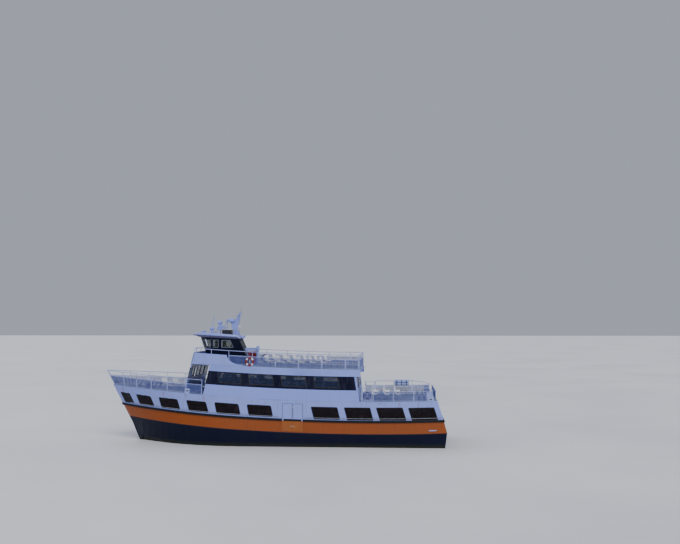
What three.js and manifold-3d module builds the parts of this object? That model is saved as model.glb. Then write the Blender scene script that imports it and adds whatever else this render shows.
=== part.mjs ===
// Passenger ferry of about 27 m: steel hull, enclosed main deck, upper cabin, open sun deck, pilothouse.
// Millimetres. +X towards the bow, +Y to port, +Z up. The origin is amidships, at the waterline.
// Every deck follows one sheer curve: heights named h are counted from that curve's lowest point.
import * as THREE from 'three';
import { mergeVertices } from 'three/addons/utils/BufferGeometryUtils.js';
import Module from 'manifold-3d';

const wasm = await Module();
wasm.setup();

// Driving dimensions
const GAP = 0.3;
const HALF_BEAM = 3600;
const NOSE = 60;
const TAPER_START = 2000;
const TAPER_POWER = 2.1;
const STERN_TAPER_START = -7000;
const STERN_TAPER = 0.05;
const TUMBLEHOME = 0.05;
const SHEER_LOW = -7500;
const SHEER_TANGENT = 3500;
const SHEER_CURVE = 2.9e-6;
const STEM_X = 12010;
const STEM_Z = 2760;
const STEM_RAKE = 0.551;
const STERN_X = -13440;
const STERN_KNEE_Z = 1190;
const STERN_RAKE = 0.308;
const STERN_TUCK = 0.14;
const HULL_TOP = 940;
const MAIN_DECK = 1000;
const GUARD_LOW = 1820;
const GUARD_HIGH = 1980;
const GUARD_OUT = 70;
const UPPER_DECK_UNDER = 3300;
const UPPER_DECK = 3380;
const FASCIA_LOW = 5200;
const AFT_FASCIA_LOW = 5520;
const SUN_DECK_UNDER = 5630;
const SUN_DECK = 5730;
const BULWARK_TOP = 6470;
const SUN_RAIL_TOP = 6800;
const WALL = 50;
const FRONT_X = 6365;
const FRONT_RAKE = 0.25;
const FRONT_CAMBER = 260;
// Ends of the upper cabin's sides at the upper deck, the fascia's lower edge and the sun deck
const CABIN_FORE = [4790, 4400, 4310];
const CABIN_AFT = [-6990, -6720, -6660];
const SUN_DECK_AFT = [-7080, -7060];
const KEEL_Z = -1500;
const SKEG_Z = -1850;
const CHINE_Z = -350;
const RAIL_R = 24;
const MESH_RAIL = 720;
const HAND_RAIL = 1080;

const finish = (colour, roughness, metalness) =>
  new THREE.MeshStandardMaterial({ color: colour, roughness, metalness });
const WHITE = finish(0xe8e8ee, 0.45, 0.1);
const ORANGE = finish(0xd9781e, 0.5, 0.1);
const NAVY = finish(0x10162c, 0.4, 0.1);
const RUBBER = finish(0x15161a, 0.85, 0);
const DECK = finish(0x6d7f8c, 0.8, 0);
const GALVANISED = finish(0xb4bac4, 0.45, 0.8);
const BRONZE = finish(0xb08a4a, 0.35, 0.9);
const ENGINE = finish(0x5d6f5b, 0.6, 0.3);

const ferry = new THREE.Group();

// Solids and meshes
function solidOf(geometry) {
  const bare = geometry.clone();
  bare.deleteAttribute('normal');
  bare.deleteAttribute('uv');
  const merged = mergeVertices(bare, 1e-3);
  return new wasm.Manifold(new wasm.Mesh({
    numProp: 3,
    vertProperties: new Float32Array(merged.attributes.position.array),
    triVerts: new Uint32Array(merged.index.array),
  }));
}

function geometryOf(solid) {
  const mesh = solid.getMesh();
  const geometry = new THREE.BufferGeometry();
  const points = new Float32Array(mesh.numVert * 3);
  for (let v = 0; v < mesh.numVert; v++) {
    for (let k = 0; k < 3; k++) points[3 * v + k] = mesh.vertProperties[mesh.numProp * v + k];
  }
  geometry.setAttribute('position', new THREE.BufferAttribute(points, 3));
  geometry.setIndex([...mesh.triVerts]);
  return geometry;
}

const join = (solids) => solids.reduce((sum, next) => sum.add(next));
const mirrorY = (solid) => solid.mirror([0, 1, 0]);

function place(name, solid, material) {
  const geometry = geometryOf(solid);
  geometry.computeVertexNormals();
  const mesh = new THREE.Mesh(geometry, material);
  mesh.name = name;
  ferry.add(mesh);
}

function placePair(name, portSolid, material) {
  place(`${name}_port`, portSolid, material);
  place(`${name}_stbd`, mirrorY(portSolid), material);
}

// Triangles that fill a ring, found in the plane it faces most, in the ring's own order.
function capFaces(ring) {
  const normal = new THREE.Vector3();
  ring.forEach((point, k) => {
    normal.add(new THREE.Vector3(...point).cross(new THREE.Vector3(...ring[(k + 1) % ring.length])));
  });
  const size = [0, 1, 2].map((axis) => Math.abs(normal.getComponent(axis)));
  const drop = size.indexOf(Math.max(...size));
  const flat = ring.map((point) => new THREE.Vector2(point[(drop + 1) % 3], point[(drop + 2) % 3]));
  const turned = THREE.ShapeUtils.isClockWise(flat);
  const order = ring.map((_, k) => (turned ? ring.length - 1 - k : k));
  return THREE.ShapeUtils.triangulateShape(order.map((k) => flat[k]), []).map((face) => {
    const [a, b, c] = face.map((k) => order[k]);
    return turned ? [a, c, b] : [a, b, c];
  });
}

// A closed body from rings of equal length, each an array of [x, y, z] in order round the section.
function loft(rings) {
  const count = rings[0].length;
  const points = rings.flat(2);
  const faces = [];
  for (let r = 0; r + 1 < rings.length; r++) {
    for (let k = 0; k < count; k++) {
      const a = r * count + k;
      const b = r * count + (k + 1) % count;
      faces.push([a, b, b + count], [a, b + count, a + count]);
    }
  }
  const last = (rings.length - 1) * count;
  for (const [a, b, c] of capFaces(rings[0])) faces.push([a, c, b]);
  for (const [a, b, c] of capFaces(rings.at(-1))) faces.push([last + a, last + b, last + c]);
  let volume = 0;
  const corner = (i) => new THREE.Vector3(points[3 * i], points[3 * i + 1], points[3 * i + 2]);
  for (const [a, b, c] of faces) volume += corner(a).dot(corner(b).cross(corner(c)));
  const order = volume < 0 ? ([a, b, c]) => [a, c, b] : (face) => face;
  const geometry = new THREE.BufferGeometry();
  geometry.setAttribute('position', new THREE.BufferAttribute(new Float32Array(points), 3));
  geometry.setIndex(faces.map(order).flat());
  return solidOf(geometry);
}

function box(x0, x1, y0, y1, z0, z1) {
  const geometry = new THREE.BoxGeometry(x1 - x0, y1 - y0, z1 - z0);
  geometry.translate((x0 + x1) / 2, (y0 + y1) / 2, (z0 + z1) / 2);
  return solidOf(geometry);
}

// A round bar from one point to another.
function bar(from, to, radiusFrom, radiusTo = radiusFrom, sides = 8) {
  const start = new THREE.Vector3(...from);
  const run = new THREE.Vector3(...to).sub(start);
  const geometry = new THREE.CylinderGeometry(radiusTo, radiusFrom, run.length(), sides);
  geometry.translate(0, run.length() / 2, 0);
  const turn = new THREE.Quaternion().setFromUnitVectors(new THREE.Vector3(0, 1, 0), run.normalize());
  geometry.applyQuaternion(turn);
  geometry.translate(...from);
  return solidOf(geometry);
}

// A pipe through a run of points, with a section of a few sides.
function pipe(path, radius, sides = 6) {
  const rings = path.map((point, k) => {
    const before = path[Math.max(k - 1, 0)];
    const after = path[Math.min(k + 1, path.length - 1)];
    const along = new THREE.Vector3(after[0] - before[0], after[1] - before[1], after[2] - before[2]);
    const across = new THREE.Vector3(-along.y, along.x, 0).normalize();
    const up = new THREE.Vector3().crossVectors(along.normalize(), across);
    return Array.from({ length: sides }, (_, s) => {
      const turn = (2 * Math.PI * (s + 0.5)) / sides;
      const side = radius * Math.cos(turn);
      const rise = radius * Math.sin(turn);
      return [0, 1, 2].map((axis) =>
        point[axis] + side * across.getComponent(axis) + rise * up.getComponent(axis));
    });
  });
  return loft(rings);
}

// A flat outline of [x, z] corners, with rounded corners of a radius, pushed through from y0 to y1.
function prism(corners, y0, y1, radius = 0) {
  const shape = new THREE.Shape();
  const count = corners.length;
  const toward = (from, to, distance) => {
    const length = Math.hypot(to[0] - from[0], to[1] - from[1]);
    return [0, 1].map((k) => from[k] + (to[k] - from[k]) * distance / length);
  };
  corners.forEach((corner, k) => {
    const into = toward(corner, corners[(k + count - 1) % count], radius);
    const out = toward(corner, corners[(k + 1) % count], radius);
    if (k === 0) shape.moveTo(...into);
    else shape.lineTo(...into);
    if (radius > 0) shape.quadraticCurveTo(...corner, ...out);
  });
  shape.closePath();
  const geometry = new THREE.ExtrudeGeometry(shape, {
    depth: y1 - y0, bevelEnabled: false, curveSegments: 2 });
  geometry.rotateX(Math.PI / 2);
  geometry.translate(0, y1, 0);
  return solidOf(geometry);
}

// The ship's lines
function sheer(x) {
  const curved = Math.min(x, SHEER_TANGENT) - SHEER_LOW;
  const straight = Math.max(0, x - SHEER_TANGENT);
  return SHEER_CURVE * (curved * curved + 2 * (SHEER_TANGENT - SHEER_LOW) * straight);
}

function stemAt(h) {
  const slope = 2 * SHEER_CURVE * (SHEER_TANGENT - SHEER_LOW);
  const rest = h + sheer(SHEER_TANGENT) - slope * SHEER_TANGENT - STEM_Z;
  return (STEM_X + STEM_RAKE * rest) / (1 - STEM_RAKE * slope);
}

function sternAt(h) {
  const above = h + sheer(STERN_X) - STERN_KNEE_Z;
  return STERN_X + (above > 0 ? STERN_RAKE * above : -STERN_TUCK * above);
}

const frontAt = (h) => FRONT_X - FRONT_RAKE * (h - UPPER_DECK);

function halfBeam(x, h) {
  const fore = Math.min(1, Math.max(0, (x - TAPER_START) / (stemAt(h) - TAPER_START)));
  const aft = Math.min(1, Math.max(0, (STERN_TAPER_START - x) / (STERN_TAPER_START - STERN_X)));
  const lean = Math.min(1, Math.max(0, (8000 - x) / 1800)) * TUMBLEHOME * Math.max(0, h - UPPER_DECK);
  const full = (HALF_BEAM - NOSE) * (1 - fore ** TAPER_POWER) * (1 - STERN_TAPER * aft * aft);
  return NOSE + full - Math.min(lean, full / 2);
}

// Stations: the stern, a frame at each metre, closer frames forward, then shares of the way to the stem.
const FRAMES = [];
for (let x = -12000; x <= 3000; x += 1000) FRAMES.push(x);
for (let x = 3600; x <= 10200; x += 600) FRAMES.push(x);
const BOW_FRAME = 10200;
const BOW_SHARES = [0.35, 0.7, 1];
const STATIONS = [
  (h) => sternAt(h),
  ...FRAMES.map((x) => () => x),
  ...BOW_SHARES.map((share) => (h) => BOW_FRAME + share * (stemAt(h) - BOW_FRAME)),
];

const outlines = new Map();
function outline(h) {
  if (!outlines.has(h)) {
    outlines.set(h, STATIONS.map((station) => {
      const x = station(h);
      return [x, halfBeam(x, h), h + sheer(x)];
    }));
  }
  return outlines.get(h);
}

function edge(x, h) {
  const line = outline(h);
  let k = 0;
  while (k < line.length - 2 && x > line[k + 1][0]) k++;
  const share = (x - line[k][0]) / (line[k + 1][0] - line[k][0]);
  return line[k].map((value, axis) => value + share * (line[k + 1][axis] - value));
}

const deckZ = (x, h) => edge(x, h)[2];

// How far a post of a radius must be raised to stand on the sloping deck
const seatRise = (x, radius) => radius * 2 * SHEER_CURVE * (Math.min(x, SHEER_TANGENT) - SHEER_LOW);

// Port edge at height h from one x to another, ends included.
function edgePath(h, from, to) {
  const inside = outline(h).filter(([x]) => x > from + 1 && x < to - 1);
  return [edge(from, h), ...inside, edge(to, h)];
}

const raise = (points, dy, dz) => points.map(([x, y, z]) => [x, Math.max(y + dy, 1), z + dz]);

// A strip of side plating on the port side through several heights, of a thickness inboard.
// from and to give its ends, one x for each height.
function sideBand(levels, from, to, thickness = WALL, out = 0) {
  const paths = levels.map((h, row) => edgePath(h, from[row], to[row]));
  const rings = paths[0].map((_, k) => {
    const skin = paths.map((path, row) => raise([path[k]], out, row === 0 ? GAP : 0)[0]);
    const lining = paths.map((path, row) => raise([path[k]], -thickness, row === 0 ? GAP : 0)[0]);
    return [...skin, ...lining.reverse()];
  });
  return loft(rings);
}

// A deck between two heights over the full breadth, less an inset.
function deck(low, high, from, to, inset = 0) {
  const bottom = edgePath(low, from[0], to[0]);
  const top = edgePath(high, from[1], to[1]);
  const rings = bottom.map(([x0, y0, z0], k) => {
    const [x1, y1, z1] = top[k];
    return [
      [x0, y0 - inset, z0 + GAP], [x1, y1 - inset, z1],
      [x1, inset - y1, z1], [x0, inset - y0, z0 + GAP],
    ];
  });
  return loft(rings);
}

const natural = (low, high) => [[sternAt(low), sternAt(high)], [stemAt(low), stemAt(high)]];

// Hull with its engine well
function keelAt(x) {
  const aft = Math.max(0, -3000 - x) / 10400;
  const fore = Math.max(0, x - 6500);
  return KEEL_Z + 500 * aft ** 1.5 + 8.8e-5 * fore * fore;
}
function chineAt(x) {
  const fore = Math.max(0, x - 3000) / 8000;
  return CHINE_Z + 1100 * fore * fore;
}
const CHINE_SHARE = 0.94;
const CHINE_STEM = 10950;
const KEEL_STEM = 10600;
function hullRing(x) {
  const [, deckY, deckZ] = edge(x, HULL_TOP);
  const fore = Math.min(1, Math.max(0, (x - TAPER_START) / (CHINE_STEM - TAPER_START)));
  const chineY = Math.min(deckY - 10, NOSE / 2 + CHINE_SHARE * HALF_BEAM * (1 - fore ** 1.9));
  const half = [[x, deckY, deckZ], [x, chineY, chineAt(x)], [x, NOSE / 2, keelAt(x)]];
  return [...half, ...half.slice().reverse().map(([px, py, pz]) => [px, -py, pz])];
}
const sternLean = (z) => sternAt(z - sheer(STERN_X));
const hullSections = FRAMES.map(hullRing);
hullSections.unshift(hullRing(-13000).map(([, y, z]) => [sternLean(z), y, z]));
const stemHull = stemAt(HULL_TOP);
const stemTop = HULL_TOP + sheer(stemHull);
const stemHalf = [
  [stemHull, NOSE, stemTop],
  [stemHull - STEM_RAKE * (stemTop - 700), NOSE / 2, 700],
  [KEEL_STEM, NOSE / 2, -100],
];
hullSections.push([...stemHalf, ...stemHalf.slice().reverse().map(([x, y, z]) => [x, -y, z])]);

// Engine room and the two main engines
const WELL = [-7200, -2200, -2100, 2100];
const WELL_FLOOR = -450;
const ENGINE_SIZE = [2300, 1000, 1150];
const ENGINE_AT = [-4600, 1250];

// Running gear: shaft line, propeller, rudder
const SHAFT_Y = 1400;
const PROP = { x: -11550, z: -1330, radius: 430, hub: 95, hubLength: 260 };
const SHAFT_TOP = [-6900, -780];
const SHAFT_R = 55;
const RUDDER = { x: -12450, top: -870, bottom: -1800, chord: 720, ahead: 190, thick: 90, stock: 50 };
const BOSS_R = 110;

const skeg = prism(
  [[-10600, -900], [-9800, SKEG_Z], [3500, SKEG_Z], [6200, -1300], [6200, -1200]], -90, 90);
const rudderBoss = bar(
  [RUDDER.x, SHAFT_Y, RUDDER.top + GAP], [RUDDER.x, SHAFT_Y, -300], BOSS_R, BOSS_R, 12);
const plainHull = join([loft(hullSections), skeg, rudderBoss, mirrorY(rudderBoss)]);
const well = box(WELL[0], WELL[1], WELL[2], WELL[3], WELL_FLOOR, 2000);
place('hull', plainHull.subtract(well), NAVY);

const engineBlock = box(
  ENGINE_AT[0] - ENGINE_SIZE[0] / 2, ENGINE_AT[0] + ENGINE_SIZE[0] / 2,
  ENGINE_AT[1] - ENGINE_SIZE[1] / 2, ENGINE_AT[1] + ENGINE_SIZE[1] / 2,
  WELL_FLOOR + GAP, WELL_FLOOR + ENGINE_SIZE[2]);
const engineBed = box(ENGINE_AT[0] - 900, ENGINE_AT[0] + 900, -ENGINE_AT[1], ENGINE_AT[1],
  WELL_FLOOR + GAP, WELL_FLOOR + 150);
place('engines', join([engineBlock, mirrorY(engineBlock), engineBed]), ENGINE);

const shaftRun = [PROP.x - SHAFT_TOP[0], PROP.z - SHAFT_TOP[1]];
const shaftLength = Math.hypot(...shaftRun);
const shaftDirection = [shaftRun[0] / shaftLength, 0, shaftRun[1] / shaftLength];
const alongShaft = (distance) => [
  PROP.x + shaftDirection[0] * distance, SHAFT_Y, PROP.z + shaftDirection[2] * distance];
const hubFace = -PROP.hubLength / 2;
const shaftTube = join([
  bar(alongShaft(-shaftLength), alongShaft(hubFace - GAP), SHAFT_R),
  bar(alongShaft(hubFace - 320), alongShaft(hubFace - GAP), 85),
  prism([[-11450, -400], [-11150, -400], [-11190, -1270], [-11400, -1270]], SHAFT_Y - 25, SHAFT_Y + 25),
]).subtract(plainHull.translate([0, 0, -2 * GAP]));
placePair('shaft', shaftTube.decompose().sort((a, b) => b.volume() - a.volume())[0], GALVANISED);

function propeller() {
  const blades = [0, 1, 2, 3].map((k) => {
    const disc = new THREE.Shape();
    disc.absellipse(0, 0, PROP.radius * 0.36, PROP.radius * 0.5, 0, 2 * Math.PI);
    const blade = new THREE.ExtrudeGeometry(disc, { depth: 26, bevelEnabled: false, curveSegments: 4 });
    blade.translate(0, PROP.radius * 0.5, -13);
    blade.rotateY(Math.PI / 2 + 0.6);
    blade.rotateX((k * Math.PI) / 2);
    return solidOf(blade);
  });
  const hub = bar([-PROP.hubLength / 2, 0, 0], [PROP.hubLength / 2, 0, 0], 60, PROP.hub, 12);
  const lean = THREE.MathUtils.radToDeg(Math.atan2(-shaftDirection[2], -shaftDirection[0]));
  return join([hub, ...blades]).rotate([0, -lean, 0]).translate([PROP.x, SHAFT_Y, PROP.z]);
}
placePair('propeller', propeller(), BRONZE);

const rudderBlade = prism([
  [RUDDER.x + RUDDER.ahead, RUDDER.top - 60], [RUDDER.x + RUDDER.ahead, RUDDER.bottom],
  [RUDDER.x + RUDDER.ahead - RUDDER.chord, RUDDER.bottom],
  [RUDDER.x + RUDDER.ahead - RUDDER.chord + 60, RUDDER.top - 60],
], SHAFT_Y - RUDDER.thick / 2, SHAFT_Y + RUDDER.thick / 2, 60);
const rudderStock = bar(
  [RUDDER.x, SHAFT_Y, RUDDER.top], [RUDDER.x, SHAFT_Y, RUDDER.bottom + 60], RUDDER.stock, RUDDER.stock, 12);
placePair('rudder', join([rudderBlade, rudderStock]), GALVANISED);

// Main deck, the painted sheer strake round it, and the black guard
place('main_deck', deck(HULL_TOP, MAIN_DECK, ...natural(HULL_TOP, MAIN_DECK)), DECK);

const STEM_POST = 250;
const bowEnd = (low, high) => [stemAt(low) - STEM_POST, stemAt(high) - STEM_POST];
const sternEnd = (low, high) => [sternAt(low), sternAt(high)];
// Boarding door: aft jamb, fore jamb, sill height, head height
const DOOR = { aft: -2790, fore: -1230, sill: 1080, head: 3160 };
const sideCut = (corners, radius = 0) => prism(corners, 0, 2 * HALF_BEAM, radius);
const doorCut = sideCut([
  [DOOR.aft, DOOR.sill + sheer(DOOR.aft)], [DOOR.fore, DOOR.sill + sheer(DOOR.fore)],
  [DOOR.fore, DOOR.head + sheer(DOOR.fore)], [DOOR.aft, DOOR.head + sheer(DOOR.aft)]]);

const strake = sideBand(
  [MAIN_DECK, GUARD_LOW], sternEnd(MAIN_DECK, GUARD_LOW), bowEnd(MAIN_DECK, GUARD_LOW));
placePair('sheer_strake', strake.subtract(doorCut), ORANGE);

// The guard is a timber-backed rubber strake: one run round the stern and one round the bow.
const guardAt = (from, to) => sideBand([GUARD_LOW, GUARD_HIGH], from, to, WALL, GUARD_OUT);
const jamb = (x) => [x, x];
function guardStern() {
  const ends = sternEnd(GUARD_LOW, GUARD_HIGH);
  const side = guardAt(ends.map((x) => x - GUARD_OUT / 2), jamb(DOOR.aft));
  const ring = (h, lift) => {
    const x = sternAt(h);
    const y = edge(x, h)[1] + GUARD_OUT;
    const z = h + sheer(x) + lift;
    return [[x - GUARD_OUT, -y, z], [x - GUARD_OUT, y, z], [x - GAP, y, z], [x - GAP, -y, z]];
  };
  return join([side, mirrorY(side), loft([ring(GUARD_LOW, GAP), ring(GUARD_HIGH, 0)])]);
}
place('guard_aft', guardStern(), RUBBER);

// Stem post between the plating ends, from the main deck to the upper deck
function stemRing(h, lift = 0, grow = 0) {
  const tip = stemAt(h);
  const back = tip - STEM_POST + GAP;
  const y = edge(back, h)[1] + grow;
  const zTip = deckZ(tip + grow, h) + lift;
  const zBack = deckZ(back - grow, h) + lift;
  return [
    [tip + grow, -NOSE - grow, zTip], [tip + grow, NOSE + grow, zTip],
    [back - grow, y, zBack], [back - grow, -y, zBack]];
}
const stemLevels = [MAIN_DECK, GUARD_LOW, GUARD_HIGH, UPPER_DECK_UNDER - GAP];
place('stem_post', loft(stemLevels.map((h, k) => stemRing(h, k === 0 ? GAP : 0))), WHITE);

function guardBow() {
  const side = guardAt(jamb(DOOR.fore), bowEnd(GUARD_LOW, GUARD_HIGH));
  const room = loft(stemLevels.map((h) => stemRing(h, 0, 2 * GAP)));
  const nose = loft([stemRing(GUARD_LOW, GAP, GUARD_OUT), stemRing(GUARD_HIGH, 0, GUARD_OUT)]);
  return join([side, mirrorY(side), nose]).subtract(room);
}
place('guard_fore', guardBow(), RUBBER);

// White side plating with its windows. Columns: fore top x, aft top x, lean, low h, high h, corner radius
const MAIN_WINDOWS = [
  [12180, 11250, 420, 2080, 2840, 80],
  [10640, 9250, 360, 2080, 2840, 110],
  [8500, 6890, 250, 2080, 2840, 110],
  [6140, 4570, 230, 2080, 2850, 110],
  [3890, 2070, 180, 2080, 2880, 110],
  [1420, -390, 160, 2080, 2890, 110],
  [-3390, -5340, 220, 2040, 2930, 60],
  [-5850, -7770, 240, 2020, 2930, 60],
  [-8220, -10160, 280, 2010, 2930, 60],
  [-10580, -12480, 280, 2000, 2900, 60],
];
function windowCut([fore, aft, lean, low, high, radius]) {
  return sideCut([
    [aft, high + sheer(aft)], [fore, high + sheer(fore)],
    [fore - lean, low + sheer(fore - lean)], [aft - lean, low + sheer(aft - lean)]], radius);
}
const mainTop = UPPER_DECK_UNDER - GAP;
const mainWall = sideBand(
  [GUARD_HIGH, mainTop], sternEnd(GUARD_HIGH, mainTop), bowEnd(GUARD_HIGH, mainTop));
const mainCuts = join([doorCut, ...MAIN_WINDOWS.map(windowCut)]);
placePair('main_side', mainWall.subtract(mainCuts), WHITE);

// Stern wall between the side plating
function sternWall() {
  const ring = (h, lift) => {
    const x = sternAt(h);
    const y = edge(x, h)[1] - WALL - GAP;
    const z = deckZ(x, h) + lift;
    const zIn = deckZ(x + WALL, h) + lift;
    return [[x, -y, z], [x, y, z], [x + WALL, y, zIn], [x + WALL, -y, zIn]];
  };
  const wall = loft([ring(MAIN_DECK, GAP), ring(UPPER_DECK_UNDER - GAP, 0)]);
  const cuts = [-2450, -800, 850].map((y) => box(-14000, -12000, y, y + 1600, 2150, 2980));
  return wall.subtract(join(cuts));
}
place('stern_wall', sternWall(), WHITE);

// Hinge barrels near both ends of a door's turning line, just clear of the jamb
const LEAF_GAP = 6;
const BARREL_R = LEAF_GAP - GAP;
function barrels(foot, head, radius = BARREL_R) {
  const at = (share) => foot.map((value, axis) => value + share * (head[axis] - value));
  return join([bar(at(0.14), at(0.22), radius), bar(at(0.78), at(0.86), radius)]);
}

// Boarding doors, two leaves a side, each hinged on its jamb at the inner face
function leaf(from, to, hinge) {
  const inner = HALF_BEAM - WALL + 5;
  const raw = box(from + LEAF_GAP, to - LEAF_GAP, inner, HALF_BEAM - 3, 900, 3500);
  const line = (h) => [hinge, inner, h + sheer(hinge)];
  const corner = (x, h) => [x, h + sheer(x)];
  const [sill, head] = [DOOR.sill + LEAF_GAP, DOOR.head - LEAF_GAP];
  const keep = sideCut([
    corner(DOOR.aft, sill), corner(DOOR.fore, sill), corner(DOOR.fore, head), corner(DOOR.aft, head)]);
  return join([raw.intersect(keep), barrels(line(DOOR.sill), line(DOOR.head))]);
}
const doorMiddle = (DOOR.aft + DOOR.fore) / 2;
placePair('boarding_door_fore', leaf(doorMiddle - LEAF_GAP / 2, DOOR.fore, DOOR.fore - LEAF_GAP), WHITE);
placePair('boarding_door_aft', leaf(DOOR.aft, doorMiddle + LEAF_GAP / 2, DOOR.aft + LEAF_GAP), WHITE);

// Upper deck with its stairway opening
const MAIN_STAIR = { foot: -6200, top: -3500, y: 0, width: 900, low: MAIN_DECK, high: UPPER_DECK };
const SUN_STAIR = { foot: 1750, top: 400, y: 1200, width: 760, low: UPPER_DECK, high: SUN_DECK };
const stairHole = ({ y, width }, x0, x1, h) =>
  box(x0, x1, y - width / 2 - 40, y + width / 2 + 40, h - 400, h + 800);
const upperDeck = deck(UPPER_DECK_UNDER, UPPER_DECK, ...natural(UPPER_DECK_UNDER, UPPER_DECK));
place('upper_deck', upperDeck.subtract(stairHole(MAIN_STAIR, -5600, -3500, UPPER_DECK)), DECK);

// Stairs: a flight of closed steps on a sloping soffit
const SOFFIT = 160;
function stair({ foot, top, y, width, low, high }, steps) {
  const run = (top - foot) / steps;
  const zFoot = Math.max(deckZ(foot, low), deckZ(foot + run, low)) + GAP;
  const rise = (deckZ(top, high) - zFoot) / steps;
  const corners = [[foot, zFoot]];
  for (let k = 1; k < steps; k++) {
    corners.push([foot + run * (k - 1), zFoot + rise * k], [foot + run * k, zFoot + rise * k]);
  }
  corners.push([top - run, zFoot + rise * (steps - 1) - SOFFIT], [foot + run, zFoot]);
  return prism(corners, y - width / 2, y + width / 2);
}
place('main_stair', stair(MAIN_STAIR, 11), DECK);
place('sun_stair', stair(SUN_STAIR, 10), DECK);

// Upper cabin sides
const UPPER_WINDOWS = [
  [3670, 1920, 60, 4380, 5130, 70],
  [1330, -500, 90, 4380, 5150, 70],
  [-1090, -2960, 130, 4370, 5140, 70],
  [-3560, -5370, 150, 4340, 5140, 70],
];
const upperWall = sideBand([UPPER_DECK, FASCIA_LOW, SUN_DECK_UNDER - GAP], CABIN_AFT, CABIN_FORE);
placePair('upper_side', upperWall.subtract(join(UPPER_WINDOWS.map(windowCut))), WHITE);

// Cross walls: a raked wall over the breadth, bowed forward by a camber, with openings cut along the ship.
function crossWall({ low, high, xLow, xHigh, thickness, inset, camber, columns }) {
  const rows = [[low, xLow, GAP], [high, xHigh, 0]];
  const halves = rows.map(([h, x]) => edge(x, h)[1] - inset);
  const rings = [];
  for (let k = 0; k <= columns; k++) {
    const share = -1 + (2 * k) / columns;
    const bow = camber * (1 - share * share);
    const at = (row, back) => {
      const [h, x, lift] = rows[row];
      return [x + bow - back, share * halves[row], deckZ(x + bow - back, h) + lift];
    };
    rings.push([at(0, 0), at(1, 0), at(1, thickness), at(0, thickness)]);
  }
  return loft(rings);
}

// Front windscreen of the porch, with a middle door
const FRONT_DOOR = { half: 390, low: 3460, high: 5400 };
const PANE = { low: 4490, high: 5310 };
const screenTop = SUN_DECK_UNDER - GAP;
const frontZ = sheer(frontAt(4800));
const windscreen = crossWall({
  low: UPPER_DECK, high: screenTop, xLow: frontAt(UPPER_DECK), xHigh: frontAt(screenTop),
  thickness: 60, inset: 90, camber: FRONT_CAMBER, columns: 14 });
const paneEdges = [510, 1330, 1430, 2250, 2350, 3090];
const paneCuts = [0, 2, 4].flatMap((k) => [
  box(4800, 7500, paneEdges[k], paneEdges[k + 1], PANE.low + frontZ, PANE.high + frontZ),
  box(4800, 7500, -paneEdges[k + 1], -paneEdges[k], PANE.low + frontZ, PANE.high + frontZ)]);
const frontDoorCut = box(4800, 7500, -FRONT_DOOR.half, FRONT_DOOR.half,
  FRONT_DOOR.low + frontZ, FRONT_DOOR.high + frontZ);
place('windscreen', windscreen.subtract(join([frontDoorCut, ...paneCuts])), WHITE);

// A leaf that leans with its wall: x is its front face at the upper deck, z the sheer it stands on.
// Its ends are cut square to the leaf, so that it turns clear of the sill and the head.
// It turns on its port edge, at the front face or, with aft set, at the back face.
function rakedDoor({ x, z, rake, half, low, high, thickness, aft = false }) {
  const slope = Math.hypot(1, rake);
  const drop = thickness * Math.abs(rake) / slope;
  const ends = rake > 0 ? [low + drop, high] : [low, high - drop];
  const front = ends.map((h) => [x - rake * (h - UPPER_DECK), h + z]);
  const back = front.map(([fx, fz]) => [fx - thickness / slope, fz - thickness * rake / slope]);
  const door = prism([back[0], front[0], front[1], back[1]], -half, half);
  const pane = box(x - 2000, x + 2000, -half + 130, half - 130, low + z + 950, high + z - 150);
  const line = (aft ? back : front).map(([lineX, lineZ]) => [lineX, half, lineZ]);
  return join([door.subtract(pane), barrels(...line)]);
}
place('windscreen_door', rakedDoor({
  x: frontAt(UPPER_DECK) + FRONT_CAMBER - 10, z: frontZ, rake: FRONT_RAKE, half: FRONT_DOOR.half - LEAF_GAP,
  low: FRONT_DOOR.low + LEAF_GAP, high: FRONT_DOOR.high - LEAF_GAP, thickness: 42 }), WHITE);

// Cabin end walls, each with a door and a window on each side of it
const CABIN_DOOR = { half: 400, low: 3460, high: 5380 };
function endWall(x, name, doorName, aft) {
  const wallHigh = SUN_DECK_UNDER - GAP;
  const z = sheer(x[0]);
  const wall = crossWall({
    low: UPPER_DECK, high: wallHigh, xLow: x[0], xHigh: x[1], thickness: 50, inset: WALL + 2,
    camber: 0, columns: 2 });
  const reach = [Math.min(...x) - 600, Math.max(...x) + 600];
  const cuts = [
    box(...reach, -CABIN_DOOR.half, CABIN_DOOR.half, CABIN_DOOR.low + z, CABIN_DOOR.high + z),
    box(...reach, 900, 2500, 4300 + z, 5150 + z),
    box(...reach, -2500, -900, 4300 + z, 5150 + z)];
  place(name, wall.subtract(join(cuts)), WHITE);
  place(doorName, rakedDoor({
    x: x[0] - 5, z, rake: (x[0] - x[1]) / (wallHigh - UPPER_DECK), half: CABIN_DOOR.half - LEAF_GAP,
    low: CABIN_DOOR.low + LEAF_GAP, high: CABIN_DOOR.high - LEAF_GAP, thickness: 40, aft }), NAVY);
}
endWall([CABIN_FORE[0] - 20, CABIN_FORE[2] - 20], 'cabin_front', 'cabin_front_door', false);
endWall([CABIN_AFT[0] + 70, CABIN_AFT[2] + 70], 'cabin_back', 'cabin_back_door', true);

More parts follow.
